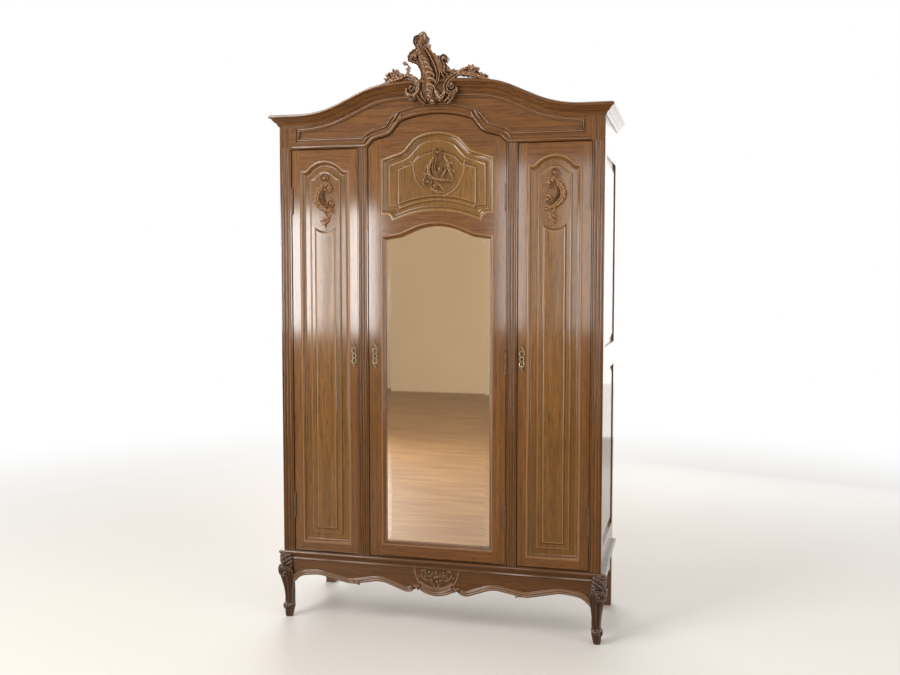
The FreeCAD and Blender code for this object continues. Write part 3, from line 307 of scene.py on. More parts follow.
def studio_sky(room_light):
    """A sky that is white to the camera, glass and metal, and lights the rest more softly."""
    recipe = Recipe("studio", "worlds", "Background")
    camera, glass, metal = (recipe.add("ShaderNodeLightPath", output=f"Is {kind} Ray")
                            for kind in ("Camera", "Transmission", "Glossy"))
    shown = camera.most(glass).most(metal)
    return recipe.finish(Color=(1, 1, 1), Strength=shown * (1 - room_light) + room_light)


# Settings

class WardrobeWood(bpy.types.PropertyGroup):
    """Colours and finish of the oak."""
    deep: FloatVectorProperty(name="Deep tone", description="Colour of the pores and rings",
                              subtype="COLOR", default=(0.023, 0.0078, 0.0016))
    middle: FloatVectorProperty(name="Middle tone", description="Main colour of the wood",
                                subtype="COLOR", default=(0.112, 0.0395, 0.007))
    pale: FloatVectorProperty(name="Pale tone", description="Colour of the bright fibres",
                              subtype="COLOR", default=(0.240, 0.099, 0.018))
    varnish: FloatProperty(name="Varnish", description="Gloss of the old varnish",
                           subtype="FACTOR", min=0, max=1, default=0.75)


class WardrobeStage(bpy.types.PropertyGroup):
    """Floor, light and camera."""
    floor_tone: FloatVectorProperty(name="Floor", description="Colour of the plain floor",
                                    subtype="COLOR", default=(0.62, 0.58, 0.53))
    key_power: FloatProperty(name="Key lamp", description="Power of the large front lamp",
                             unit="POWER", default=225)
    fill_power: FloatProperty(name="Fill lamp", description="Power of the lamp on the right",
                              unit="POWER", default=68)
    window_power: FloatProperty(name="Window lamps",
                                description="Power of the window panes that gloss the doors",
                                unit="POWER", default=60)
    strip_power: FloatProperty(name="Strip lamps", unit="POWER", default=100,
                               description="Power of the tall lamps that edge the mouldings")
    room_light: FloatProperty(name="Room light", description="Strength of the light all round",
                              subtype="FACTOR", min=0, max=2, default=0.55)
    camera_height: FloatProperty(name="Camera height", description="Height of the camera",
                                 unit="LENGTH", default=EYE[2] * MM)


def wood_tones(shift=1.0, gold=1.0):
    """The three tones of the oak, lighter by a shift and yellower by gold."""
    wood = bpy.context.scene.wardrobe_wood
    return tuple((shift * red, shift * gold * green, shift * blue)
                 for red, green, blue in (wood.deep, wood.middle, wood.pale))


def dress(material, *nodes):
    """Gives CAD nodes a material through their objects' material slots."""
    for node in nodes:
        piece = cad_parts[node]
        if not piece.material_slots:
            piece.data.materials.append(None)
        for slot in piece.material_slots:
            slot.link = "OBJECT"
            slot.material = material


def mount(piece, body, slot, *replaced):
    """Seats a finished piece on its body and hides the CAD nodes it stands for; the slot it is
    given is not used.
    """
    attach(piece, body)
    if replaced:
        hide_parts(*replaced)


# Outlines, mouldings and carved strokes

# The smallest radius of a corner and the smallest width of a stroke.
LEAST = 0.4

# The share of its radius by which a bead is sunk in what carries it.
BEAD_SUNK = 0.35

# How hollow a level face counts, between 0 on a ridge and 1 in a groove.
LEVEL = 0.45

# Half sections of a stroke, from its crest to its edge: shares of its half width and height.
SECTIONS = {
    "round": ((0, 1), (0.3, 0.95), (0.58, 0.8), (0.8, 0.58), (0.94, 0.32), (1, 0)),
    "ridge": ((0, 0.5), (0.22, 0.56), (0.45, 0.86), (0.6, 1), (0.78, 0.9), (0.93, 0.5), (1, 0)),
    "cup": ((0, 0.35), (0.35, 0.5), (0.65, 0.82), (0.84, 1), (0.95, 0.8), (1, 0)),
    "leaf": ((0, 0.62), (0.1, 0.84), (0.3, 1), (0.55, 0.86), (0.8, 0.56), (0.96, 0.3), (1, 0)),
}

# Rows of a petal from the blossom's heart outwards: shares of its radius, of the width that
# the radius gives and of its height.
PETAL = ((0.12, 0.3, 0.8), (0.4, 0.75, 0.8), (0.7, 0.85, 1.0), (0.95, 0.5, 0.75),
         (1.05, 0.15, 0.4))


def unit(across, up):
    """The direction of a step, or none where the step has no length."""
    length = math.hypot(across, up)
    return (across / length, up / length) if length else (0.0, 0.0)


def mirrored(right):
    """A closed outline from its right half, whose ends may stand on the middle line."""
    left = [(-across, up, radius) for across, up, radius in reversed(right) if across > 1e-6]
    return right + left


def rounded(corners, step=0.16, whole=False):
    """Points along a closed outline whose corners are rounded by their own radii.

    An arc turns by at most a step, in radians, from point to point. With whole, points that fall
    on one another are kept, so that outlines of like corners have equally many points.
    """
    count = len(corners)
    turns = []
    for index, (across, up, radius) in enumerate(corners):
        before = corners[index - 1]
        after = corners[(index + 1) % count]
        into = unit(across - before[0], up - before[1])
        out = unit(after[0] - across, after[1] - up)
        bend = math.atan2(into[0] * out[1] - into[1] * out[0],
                          into[0] * out[0] + into[1] * out[1])
        turns.append((into, out, bend))
    reaches = [corner[2] * math.tan(abs(turn[2]) / 2) for corner, turn in zip(corners, turns)]
    for index in range(count):
        after = (index + 1) % count
        length = math.dist(corners[index][:2], corners[after][:2])
        used = reaches[index] + reaches[after]
        if used > length:
            reaches[index] *= length / used
            reaches[after] *= length / used
    points = []
    for (across, up, radius), (into, out, bend), reach in zip(corners, turns, reaches):
        if reach < 1e-6:
            points.append((across, up))
            continue
        radius = reach / math.tan(abs(bend) / 2)
        side = math.copysign(1, bend)
        start = (across - into[0] * reach, up - into[1] * reach)
        centre = (start[0] - side * radius * into[1], start[1] + side * radius * into[0])
        spoke = (start[0] - centre[0], start[1] - centre[1])
        pieces = max(2, math.ceil(abs(bend) / step))
        for piece in range(pieces + 1):
            angle = bend * piece / pieces
            points.append((centre[0] + spoke[0] * math.cos(angle) - spoke[1] * math.sin(angle),
                           centre[1] + spoke[0] * math.sin(angle) + spoke[1] * math.cos(angle)))
    kept = [point for index, point in enumerate(points)
            if whole or math.dist(point, points[index - 1]) > 1e-4]
    return np.array(kept)


def drawn_in(points, distance):
    """The same anticlockwise outline, drawn in by a distance with mitred corners."""
    ahead = np.roll(points, -1, 0) - points
    ahead /= np.linalg.norm(ahead, axis=1)[:, None]
    normal = np.stack([-ahead[:, 1], ahead[:, 0]], 1)
    before = np.roll(normal, 1, 0)
    share = 1 + (normal * before).sum(1)
    return points + distance * (normal + before) / share[:, None]


def corners_in(corners, distance):
    """The corners of an anticlockwise outline drawn in by a distance, and their radii too."""
    points = drawn_in(np.array([corner[:2] for corner in corners], float), distance)
    rows = []
    for index, (spot, corner) in enumerate(zip(points, corners)):
        before, after = corners[index - 1], corners[(index + 1) % len(corners)]
        bend = ((corner[0] - before[0]) * (after[1] - corner[1])
                - (corner[1] - before[1]) * (after[0] - corner[0]))
        radius = max(corner[2] - math.copysign(distance, bend), LEAST) if corner[2] else 0
        rows.append((spot[0], spot[1], radius))
    return rows


def profile_marks(profile, foot=None, gain=0.45, wear_and_highlight=0.15):
    """How hollow each step of a moulding is, with its top worn and, if given, its foot's mark.

    The oak paints the hollow steps with grime and painted shade, and the worn top pale with worn
    varnish and a painted highlight.
    """
    least, most = 0.05, 0.95
    marks = [LEVEL]
    for before, here, after in zip(profile, profile[1:], profile[2:]):
        bend = (math.atan2(after[1] - here[1], after[0] - here[0])
                - math.atan2(here[1] - before[1], here[0] - before[0]))
        marks.append(min(max(LEVEL + gain * bend * abs(bend), least), most))
    marks.append(LEVEL)
    top = max(range(len(profile)), key=lambda row: profile[row][1])
    # The top is marked less hollow, to be painted pale: worn varnish and a painted highlight.
    marks[top] = max(marks[top] - wear_and_highlight, least)
    if foot is not None:
        marks[1] = foot
    return marks


def smooth_path(rows, per):
    """Rows along a curve that passes through the given ones, so many per span."""
    rows = np.array(rows, float)
    rows = np.vstack([2 * rows[0] - rows[1], rows, 2 * rows[-1] - rows[-2]])
    spans = []
    share = np.linspace(0, 1, per, endpoint=False)[:, None]
    for before, start, end, after in zip(rows, rows[1:], rows[2:], rows[3:]):
        spans.append(0.5 * (2 * start + (end - before) * share
                            + (2 * before - 5 * start + 4 * end - after) * share ** 2
                            + (3 * start - before - 3 * end + after) * share ** 3))
    path = np.vstack(spans + [rows[-2:-1]])
    path[:, 2] = np.maximum(path[:, 2], LEAST)
    return path


def store_hollows(mesh, marks):
    """Keeps how hollow each point is, for the oak to read."""
    mesh.attributes.new("hollow", "FLOAT", "POINT").data.foreach_set("value", marks)


class Shell:
    """Points, faces and hollows of one piece, in millimetres across, out and up.

    The origin is a place in the frame, in metres.
    """

    def __init__(self, origin=(0, FACE, 0), across=(1, 0, 0), out=(0, -1, 0)):
        self.origin = np.array(origin, float)
        self.axes = np.array([across, out, (0, 0, 1)], float)
        self.points = []
        self.faces = []
        self.marks = []

    def rings(self, rings, closed=False, marks=None):
        """Adds a skin over rings of equally many points, with flat ends or closed on itself."""
        start = len(self.points)
        count = len(rings[0])
        faces = []
        for row in range(len(rings) if closed else len(rings) - 1):
            after_row = (row + 1) % len(rings)
            for index in range(count):
                after = (index + 1) % count
                faces.append((row * count + index, row * count + after,
                              after_row * count + after, after_row * count + index))
        if not closed:
            faces.append(tuple(reversed(range(count))))
            faces.append(tuple((len(rings) - 1) * count + index for index in range(count)))
        self.points.extend(np.vstack(rings).astype(float).tolist())
        self.faces.extend(tuple(start + index for index in face) for face in faces)
        self.marks.extend(marks or [LEVEL] * len(rings) * count)

    def border(self, corners, profile, closed=False, step=0.16, foot=None):
        """Adds an outline carried in along a profile of steps inwards and heights out."""
        rings = []
        for distance, out in profile:
            ring = rounded(corners_in(corners, distance), step, True)
            rings.append(np.column_stack([ring[:, 0], np.full(len(ring), out), ring[:, 1]]))
        marks = profile_marks(profile, foot)
        self.rings(rings, closed, [mark for mark in marks for _ in range(len(rings[0]))])

    def stroke(self, rows, section="round", lobes=0, slant=0.5, sink=2.0, per=7):
        """Adds a carved ridge along rows of across, up, width, height and its foot's height.

        Lobes cut a leaf across into so many parts, slanted toward its tip, and it is narrowed
        and lowered in the cuts. The ridge's edges are sunk under its foot.
        """
        narrowed, lowered = 0.36, 0.55
        path = smooth_path(rows, per)
        line = path[:, :2]
        run = np.gradient(line, axis=0)
        run /= np.maximum(np.linalg.norm(run, axis=1), 1e-9)[:, None]
        side = np.stack([-run[:, 1], run[:, 0]], 1)
        steps = np.linalg.norm(np.diff(line, axis=0), axis=1)
        share = np.concatenate([[0], np.cumsum(steps)]) / max(steps.sum(), 1e-9)
        half = SECTIONS[section]
        whole = [(-aside, rise) for aside, rise in reversed(half) if aside > 0] + list(half)
        # The ridge's top is marked less hollow, for the oak to paint it pale with worn varnish
        # and a painted highlight, and its sunk edges hollow, to be painted with grime and painted
        # shade.
        edge_mark = 0.75
        marks = [edge_mark] + [0.7 - 0.5 * rise for _, rise in whole] + [edge_mark]
        rings = []
        for spot, normal, along, (width, height, foot) in zip(line, side, share, path[:, 2:5]):
            ring = [(*(spot - normal * width / 2), foot - sink)]
            for aside, rise in whole:
                beat = 1.0
                if lobes:
                    turn = math.pi * (lobes * along - slant * abs(aside))
                    beat = abs(math.sin(turn)) ** 0.6
                reach = aside * width / 2 * (1 - narrowed * (1 - beat) * abs(aside))
                lift = rise * height * (1 - lowered * (1 - beat) * abs(aside) ** 0.7)
                ring.append((*(spot + normal * reach), foot + lift))
            ring.append((*(spot + normal * width / 2), foot - sink))
            rings.append(np.array(ring)[:, (0, 2, 1)])
        self.rings(rings, marks=marks * len(rings))

    def ball(self, across, up, radius, out, levels=8, count=12):
        """Adds a bead whose middle is so far out."""
        turn = np.linspace(0, 2 * math.pi, count, endpoint=False)
        rings = []
        for level in range(1, levels):
            angle = math.pi * level / levels
            rings.append(np.column_stack([
                across + radius * math.sin(angle) * np.cos(turn),
                np.full(count, out - radius * math.cos(angle)),
                up + radius * math.sin(angle) * np.sin(turn)]))
        self.rings(rings)

    def flower(self, across, up, radius, out, height, petals=5, turn=0.3):
        """Adds a small open blossom with a bead at its heart."""
        for petal in range(petals):
            angle = turn + 2 * math.pi * petal / petals
            self.stroke([(across + radius * share * math.cos(angle),
                          up + radius * share * math.sin(angle),
                          radius * width, height * rise, out)
                         for share, width, rise in PETAL], "cup", per=4)
        self.ball(across, up, radius * 0.27, out + height * 0.7)

    def mesh(self, name):
        """The shell as a mesh in the frame, its doubles merged and its faces turned outwards."""
        placed = self.origin + np.array(self.points) * MM @ self.axes
        mesh = bpy.data.meshes.new(name)
        mesh.from_pydata(placed.tolist(), [], self.faces)
        store_hollows(mesh, self.marks)
        work = bmesh.new()
        work.from_mesh(mesh)
        bmesh.ops.remove_doubles(work, verts=work.verts, dist=1e-6)
        bmesh.ops.recalc_face_normals(work, faces=work.faces)
        work.to_mesh(mesh)
        work.free()
        return mesh


def plain_piece(name, mesh, material=None):
    """A new piece of the scene, at the origin."""
    if material:
        mesh.materials.append(material)
    piece = bpy.data.objects.new(name, mesh)
    bpy.context.scene.collection.objects.link(piece)
    return piece


def settled(piece):
    """The piece with its modifiers worked into a plain mesh."""
    graph = bpy.context.evaluated_depsgraph_get()
    mesh = bpy.data.meshes.new_from_object(piece.evaluated_get(graph))
    piece.modifiers.clear()
    piece.data = mesh
    mesh.name = piece.name
    return piece


def finished(piece, angle=32):
    """Shades rounded faces smooth, and keeps crisp edges and level flats."""
    piece.data.shade_smooth()
    piece.data.set_sharp_from_angle(angle=math.radians(angle))
    level = piece.modifiers.new("level", "WEIGHTED_NORMAL")
    level.keep_sharp = True
    return settled(piece)


def turned(name, shell, material, angle=32):
    """A shell made a finished piece of one material."""
    return finished(plain_piece(name, shell.mesh(name), material), angle)


def blended(name, shells, cell, material, ground=None):
    """Shells carved into one skin on a fine grid, which then knows its hollows."""
    work = bmesh.new()
    for shell in shells:
        work.from_mesh(shell.mesh(name + "_rough"))
    mesh = bpy.data.meshes.new(name)
    work.to_mesh(mesh)
    work.free()
    piece = plain_piece(name, mesh)
    remesh = piece.modifiers.new("cut", "REMESH")
    remesh.mode = "VOXEL"
    remesh.voxel_size = cell * MM
    soften = piece.modifiers.new("soften", "SMOOTH")
    soften.factor = 0.5
    soften.iterations = 2
    settled(piece)
    piece.data.shade_smooth()
    piece.data.materials.append(material)
    mark_hollows(piece.data, cell, ground)
    return piece


def all_values(items, name, width, kind):
    """One property of all of a mesh's points or edges, a row for each."""
    values = np.empty(len(items) * width, kind)
    items.foreach_get(name, values)
    return values.reshape(-1, width)


def mark_hollows(mesh, cell, ground, rounds=14, ground_depth=0.006, ground_shade_mark=0.72):
    """Stores how hollow each place is, from 0 on a ridge to 1 in a groove or on the ground.

    A place is hollow where the skin, smoothed for some rounds, stands out over it. Behind the
    ground's plane it grows hollow over the ground's depth, up to the ground's mark, so that the
    deep ground is painted with shade.
    """
    flat, gain = 0.42, 0.55
    count = len(mesh.vertices)
    places = all_values(mesh.vertices, "co", 3, float)
    normals = all_values(mesh.vertex_normals, "vector", 3, np.float32)
    edges = all_values(mesh.edges, "vertices", 2, np.int32)
    number = np.bincount(edges.ravel(), minlength=count)[:, None]
    soft = places.copy()
    for _ in range(rounds):
        total = np.zeros_like(soft)
        for column in range(3):
            total[:, column] = (
                np.bincount(edges[:, 0], soft[edges[:, 1], column], count)
                + np.bincount(edges[:, 1], soft[edges[:, 0], column], count))
        soft = 0.4 * soft + 0.6 * total / np.maximum(number, 1)
    lift = ((soft - places) * normals).sum(1) / (cell * MM)
    hollow = np.clip(flat + gain * lift, 0, 1)
    # The deep ground is marked hollow only so that it is painted with shade.
    if ground is not None:
        sunk = np.clip((places[:, 1] - ground) / ground_depth, 0, 1)
        hollow = np.maximum(hollow, ground_shade_mark * sunk)
    store_hollows(mesh, hollow.astype(np.float32))


def joined_faces(source):
    """A CAD node's loose triangles, in the frame, joined into whole faces."""
    work = bmesh.new()
    work.from_mesh(source.data)
    work.transform(source.matrix_world)
    bmesh.ops.remove_doubles(work, verts=work.verts, dist=2e-5)
    bmesh.ops.dissolve_limit(work, angle_limit=math.radians(0.6), verts=work.verts,
                             edges=work.edges)
    return work


def front_outline(node):
    """The outline of a board's front face, anticlockwise from the front, in millimetres."""
    work = joined_faces(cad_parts[node])
    face = max((face for face in work.faces if face.normal.y < -0.99),
               key=lambda face: face.calc_area())
    points = np.array([(vertex.co.x, vertex.co.z) for vertex in face.verts]) / MM
    work.free()
    ahead = np.roll(points, -1, 0)
    area = (points[:, 0] * ahead[:, 1] - ahead[:, 0] * points[:, 1]).sum()
    return points if area > 0 else points[::-1]


# Shapes of the mouldings and panels

# Mouldings: steps inwards from an outline, and heights out from the face.
BORDER = ((0, -24.5), (0, -6.2), (1.4, -5.4), (4.5, -4.7), (8, -5.4), (11, -7.4), (13, -10.2),
          (13.4, -12.3), (16, -12.8), (17, -14.4), (19.6, -15.8), (23, -16.5))
STEP = ((-1.8, -18), (-1.8, -16.3), (-1.4, -14), (-0.4, -12.2), (1.4, -11), (3.4, -10.7),
        (5, -11.1), (6.4, -11.5), (8, -11.5))
FIELD = ((-5, -13), (-5, -11.4), (-2.4, -10.9), (-0.8, -9.2), (0.6, -7.6), (2.2, -6.9), (4, -7.4))

# Outlines are rows of across, up and the radius of the corner. Those of a side door's panel are
# measured from its middle line, and its ground is stippled from a height upwards.
SIDE_MIDDLE = 483.25
SIDE_OPENING = mirrored([(110, 333, 0), (110, 1914.6, 0), (82, 1914.6, 12.1), (0, 2012.4, 100.7)])
SIDE_STEP = mirrored([(67, 376, 0), (67, 1879, 0), (52, 1883, 20.1), (0, 1927.9, 52)])
SIDE_FIELD = mirrored([(42, 400, 0), (42, 1672, 0), (0, 1637.6, 58.8)])
SIDE_GROUND = -11.5
STIPPLE_FOOT = 1680
STIPPLE_INSET = 9

CENTRE_OPENING = mirrored([(0, 1783, 445.1), (189.9, 1697.1, 0), (189.9, 1728, 28.1),
                           (238, 1728, 0), (238, 1953, 0), (142.1, 1983, 45.2),
                           (97.1, 2033.9, 47.6), (0, 2078.9, 190.4)])
CENTRE_FIELD = mirrored([(0, 1829.9, 423.8), (163, 1768, 0), (163, 1912, 0),
                         (107.6, 1928.3, 30), (73.4, 1960.9, 30), (0, 1987, 146.7)])
STEP_INSET = 33
CENTRE_GROUND = -7.6

MIRROR_OPENING = mirrored([(238, 345, 0), (238, 1639.9, 0), (158, 1651.1, 59.5),
                           (0, 1718, 254.7)])
MIRROR_MOULDING = ((0, -22.8), (0, -6), (1.4, -5.2), (4, -4.8), (6.4, -5.6), (8, -7.4),
                   (8.8, -9.2), (10.4, -9.8), (12.6, -11.2), (14.6, -13.6), (15.6, -16),
                   (17, -17), (17, -22.8))

# How hollow the foot of a step or a field counts, for the oak to paint it with grime and painted
# shade.
DIRT_AND_SHADE_FOOT = 0.85

APRON_HALF = [(80, 175, 0), (120, 152, 50), (240, 195, 118), (375, 170, 118), (520, 201, 148),
              (612, 189, 71), (640, 150, 0)]
APRON_EDGE = ([(-across, up, radius) for across, up, radius in reversed(APRON_HALF)]
              + [(0, 121.4, 130)] + APRON_HALF + [(640, 290, 0), (-640, 290, 0)])
APRON_EDGE_TOP = 230
APRON_GROUND = -3

# Ribs along the apron's edge: inset, width and height, and the stretches that they run over.
RIBS = ((8.6, 24, 2.4), (4.6, 7.6, 6.2), (13.2, 7.6, 6.2))
RIB_STRETCHES = ((-640, -82), (-78, 78), (82, 640))

# The frieze's thin lines: inset and width.
FRIEZE_LINES = ((11, 6), (17, 3.5))

# Boards whose arrises are worn, and how widely.
SOFTENED = (
    ("left_door_stiles", 1.2), ("right_door_stiles", 1.2), ("centre_door_stiles", 1.2),
    ("left_door_rails", 0.8), ("right_door_rails", 0.8), ("centre_door_rails", 0.8),
    ("frieze", 1.0), ("frieze_bead", 0.5), ("cornice_front", 0.8), ("cornice_sides", 0.8),
    ("base_moulding", 0.8), ("front_apron", 0.8), ("frieze_blocks", 0.8),
    ("left_side_rails", 1.2), ("right_side_rails", 1.2), ("rear_left_post", 1.5),
    ("rear_right_post", 1.5), ("front_left_post", 0.6), ("front_right_post", 0.6),
    ("left_divider", 0.6), ("right_divider", 0.6),
)

# Carving. A stroke is a section, a number of lobes, and rows of across, up, width and height.
# A bead is across, up, radius and how far out it stands. A single line is its rows alone.
SPRAY = (
    ("ridge", 0, ((-2, 1864, 8, 7), (-13, 1872, 9, 8), (-14, 1886, 9, 9), (-5, 1897, 9, 10),
                  (7, 1896, 9, 10), (13, 1884, 8, 9), (8, 1873, 7, 8))),
    ("leaf", 4, ((-9, 1856, 12, 9), (6, 1861, 19, 13), (20, 1855, 21, 14), (27, 1840, 17, 13),
                 (23, 1826, 9, 9))),
    ("cup", 3, ((-12, 1836, 14, 10), (4, 1838, 18, 13), (16, 1832, 13, 12), (18, 1820, 7, 8))),
    ("leaf", 10, ((-2, 1864, 10, 7), (-12, 1846, 21, 11), (-27, 1822, 28, 13),
                  (-32, 1795, 30, 14), (-20, 1770, 27, 13), (1, 1754, 21, 12),
                  (22, 1746, 14, 10), (40, 1739, 6, 6))),
    ("ridge", 0, ((-8, 1828, 8, 14), (-12, 1804, 9, 16), (-4, 1784, 9, 15), (10, 1770, 9, 13),
                  (27, 1763, 8, 11), (38, 1770, 7, 9), (39, 1781, 5, 7))),
    ("leaf", 4, ((4, 1764, 9, 10), (14, 1784, 13, 12), (26, 1794, 13, 12), (37, 1790, 7, 8))),
    ("leaf", 3, ((14, 1752, 9, 10), (30, 1754, 12, 11), (44, 1748, 6, 7))),
    ("round", 0, ((-2, 1750, 8, 8), (2, 1736, 8, 8), (9, 1724, 7, 7), (12, 1714, 6, 7))),
    ("leaf", 3, ((26, 1727, 7, 7), (14, 1720, 15, 11), (-2, 1711, 14, 10), (-17, 1704, 5, 5))),
    ("leaf", 3, ((20, 1714, 7, 7), (10, 1702, 13, 10), (-2, 1693, 11, 9), (-13, 1689, 4, 4))),
    ("ridge", 0, ((8, 1704, 6, 7), (2, 1688, 7, 7), (4, 1676, 5, 5))),
)
SPRAY_BEADS = ((0, 1883, 7, 9), (27, 1779, 6, 9), (17, 1790, 4, 11), (36, 1776, 4, 8),
               (22, 1843, 6, 15), (8, 1851, 5, 14), (-30, 1842, 4, 8), (-43, 1812, 4, 7),
               (-44, 1788, 4, 7), (44, 1738, 4, 6), (-18, 1704, 4, 5), (4, 1668, 3.5, 4))
BOW = (
    ("leaf", 5, ((-2, 1958, 8, 7), (-18, 1940, 14, 10), (-29, 1916, 17, 12),
                 (-28, 1891, 17, 12), (-13, 1873, 15, 11), (10, 1866, 9, 9))),
    ("ridge", 0, ((26, 1950, 8, 9), (8, 1945, 11, 12), (-6, 1928, 12, 13), (-8, 1906, 12, 13),
                  (6, 1893, 11, 13), (21, 1901, 10, 12), (22, 1915, 8, 11), (13, 1918, 6, 10))),
    ("leaf", 5, ((32, 1956, 7, 7), (47, 1942, 15, 11), (53, 1921, 17, 12), (57, 1901, 16, 12),
                 (66, 1883, 13, 10), (72, 1869, 5, 6))),
    ("leaf", 3, ((6, 1867, 9, 9), (28, 1863, 15, 12), (48, 1861, 13, 11), (68, 1859, 5, 6))),
    ("leaf", 3, ((44, 1908, 8, 8), (34, 1891, 14, 12), (24, 1876, 8, 8))),
    ("ridge", 0, ((4, 1952, 8, 9), (-7, 1963, 10, 11), (-8, 1979, 10, 12), (4, 1990, 10, 12),
                  (17, 1985, 9, 12), (20, 1971, 8, 11), (12, 1963, 6, 10))),
    ("ridge", 0, ((-14, 1871, 8, 8), (-30, 1875, 9, 10), (-45, 1866, 9, 11), (-47, 1851, 9, 11),
                  (-37, 1841, 9, 11), (-24, 1846, 9, 10), (-20, 1858, 8, 9))),
    ("ridge", 0, ((2, 1864, 8, 9), (8, 1849, 9, 10), (2, 1833, 9, 10), (-12, 1827, 9, 10),
                  (-20, 1835, 8, 9), (-14, 1843, 6, 8))),
    ("leaf", 3, ((-22, 1836, 8, 8), (-8, 1823, 12, 10), (10, 1816, 12, 9), (30, 1813, 5, 5))),
    ("leaf", 3, ((8, 1851, 8, 8), (20, 1839, 11, 9), (32, 1823, 5, 5))),
    ("leaf", 3, ((50, 1932, 8, 7), (63, 1931, 11, 9), (73, 1921, 5, 5))),
    ("leaf", 3, ((58, 1905, 8, 7), (71, 1901, 11, 9), (79, 1891, 5, 5))),
    ("leaf", 3, ((-28, 1924, 8, 7), (-40, 1917, 11, 9), (-46, 1903, 5, 5))),
    ("leaf", 3, ((-28, 1893, 7, 7), (-41, 1887, 10, 9), (-49, 1877, 5, 5))),
)
BOW_BEADS = ((38, 1958, 5, 8), (49, 1938, 5, 12), (54, 1918, 5, 12), (58, 1900, 5, 12),
             (66, 1884, 4, 10), (-12, 1952, 5, 8), (6, 1975, 6, 9), (14, 1909, 5, 11),
             (-33, 1858, 5, 9), (-6, 1841, 5, 9), (-48, 1892, 4, 6), (-52, 1867, 4, 6),
             (34, 1864, 4, 12), (50, 1862, 4, 11))
SHIELD = (((-112, 1938, 5, 3), (-98, 1936, 6.5, 4), (-95, 1905, 6.5, 4),
           (-86, 1870, 6.5, 4), (-66, 1840, 6, 4), (-40, 1816, 5, 2.5)),
          ((130, 1938, 5, 3), (117, 1936, 6.5, 4), (114, 1900, 6.5, 4),
           (102, 1862, 6.5, 4), (76, 1824, 6, 4), (30, 1796, 5, 2.5)))
EARS = (((160, 2137, 6, 6), (167, 2126, 11, 10), (175, 2114, 11, 9), (185, 2103, 6, 5)),
        ((146, 2133, 6, 6), (151, 2121, 10, 10), (158, 2109, 10, 9), (168, 2098, 6, 5)),
        ((282, 2046, 6, 5), (293, 2042, 10, 8), (302, 2033, 10, 8), (307, 2020, 6, 5)))

# The leg, in rows of height, how far out its face reaches, and width.
LEG = ((0, 0, 29), (8, 0.8, 32), (19.8, 1.8, 35.5), (42, 3.6, 42), (54, 2.6, 41),
       (62, 0.6, 38.4), (82, 0, 37.6), (102, 0.3, 38.5), (141, 5.3, 43.2), (175, 13, 51),
       (198, 18.6, 56), (212, 20, 57.4), (222, 18.6, 56), (229, 12, 51), (233, 8.9, 48.5),
       (240, 13.5, 53), (262, 11.8, 51.5), (283, 13.6, 53.5))
LEG_CORNER = 680
LEG_ROUNDNESS = 3.2
LEG_HEAD = (-40, -3)
LEG_HEAD_HEIGHTS = (280, 296)

# A leg's carving is made this much wider and higher, and seated this deep in its face.
LEG_CARVING_WIDTH = 1.15
LEG_CARVING_HEIGHT = 1.25
LEG_CARVING_SEAT = 1.4
LEG_CARVING = (
    ("ridge", 0, ((-33, 118, 7, 3), (-36, 150, 8, 4), (-38, 184, 10, 5), (-33, 210, 12, 6),
                  (-12, 221, 13, 7), (8, 214, 12, 7), (12, 198, 11, 7), (1, 187, 9, 7),
                  (-12, 190, 8, 7), (-15, 202, 7, 7), (-6, 206, 6, 6))),
    ("ridge", 0, ((11, 190, 9, 4), (6, 160, 8, 4), (0, 130, 7, 3), (-4, 96, 7, 3),
                  (-6, 66, 6, 3))),
    ("round", 0, ((-33, 118, 6, 3), (-34, 92, 6, 3), (-33, 66, 6, 3))),
    ("ridge", 0, ((-17, 184, 5, 3), (-17, 150, 6, 3), (-18, 116, 5, 3), (-19, 80, 4, 2))),
    ("leaf", 4, ((-38, 62, 7, 4), (-28, 54, 12, 6), (-17, 50, 13, 7), (-6, 54, 12, 6),
                 (2, 62, 7, 4))),
    ("ridge", 0, ((-4, 60, 7, 5), (4, 52, 8, 6), (4, 42, 8, 6), (-4, 38, 7, 5),
                  (-8, 44, 5, 4))),
    ("leaf", 4, ((-38, 283, 9, 6), (-24, 277, 15, 9), (-8, 268, 17, 10), (6, 256, 13, 9),
                 (12, 245, 6, 5))),
    ("leaf", 4, ((-40, 268, 8, 6), (-28, 262, 14, 9), (-13, 252, 15, 10), (0, 241, 11, 8),
                 (6, 234, 5, 5))),
    ("leaf", 3, ((-40, 251, 8, 5), (-29, 245, 12, 8), (-17, 237, 10, 7), (-8, 231, 5, 5))),
    ("leaf", 3, ((-16, 284, 9, 6), (-1, 280, 13, 8), (10, 270, 11, 8), (14, 260, 5, 5))),
)
LEG_BEADS = ((10, 238, 5.5, 5), (-6, 198, 4.5, 7), (-34, 236, 4, 4))
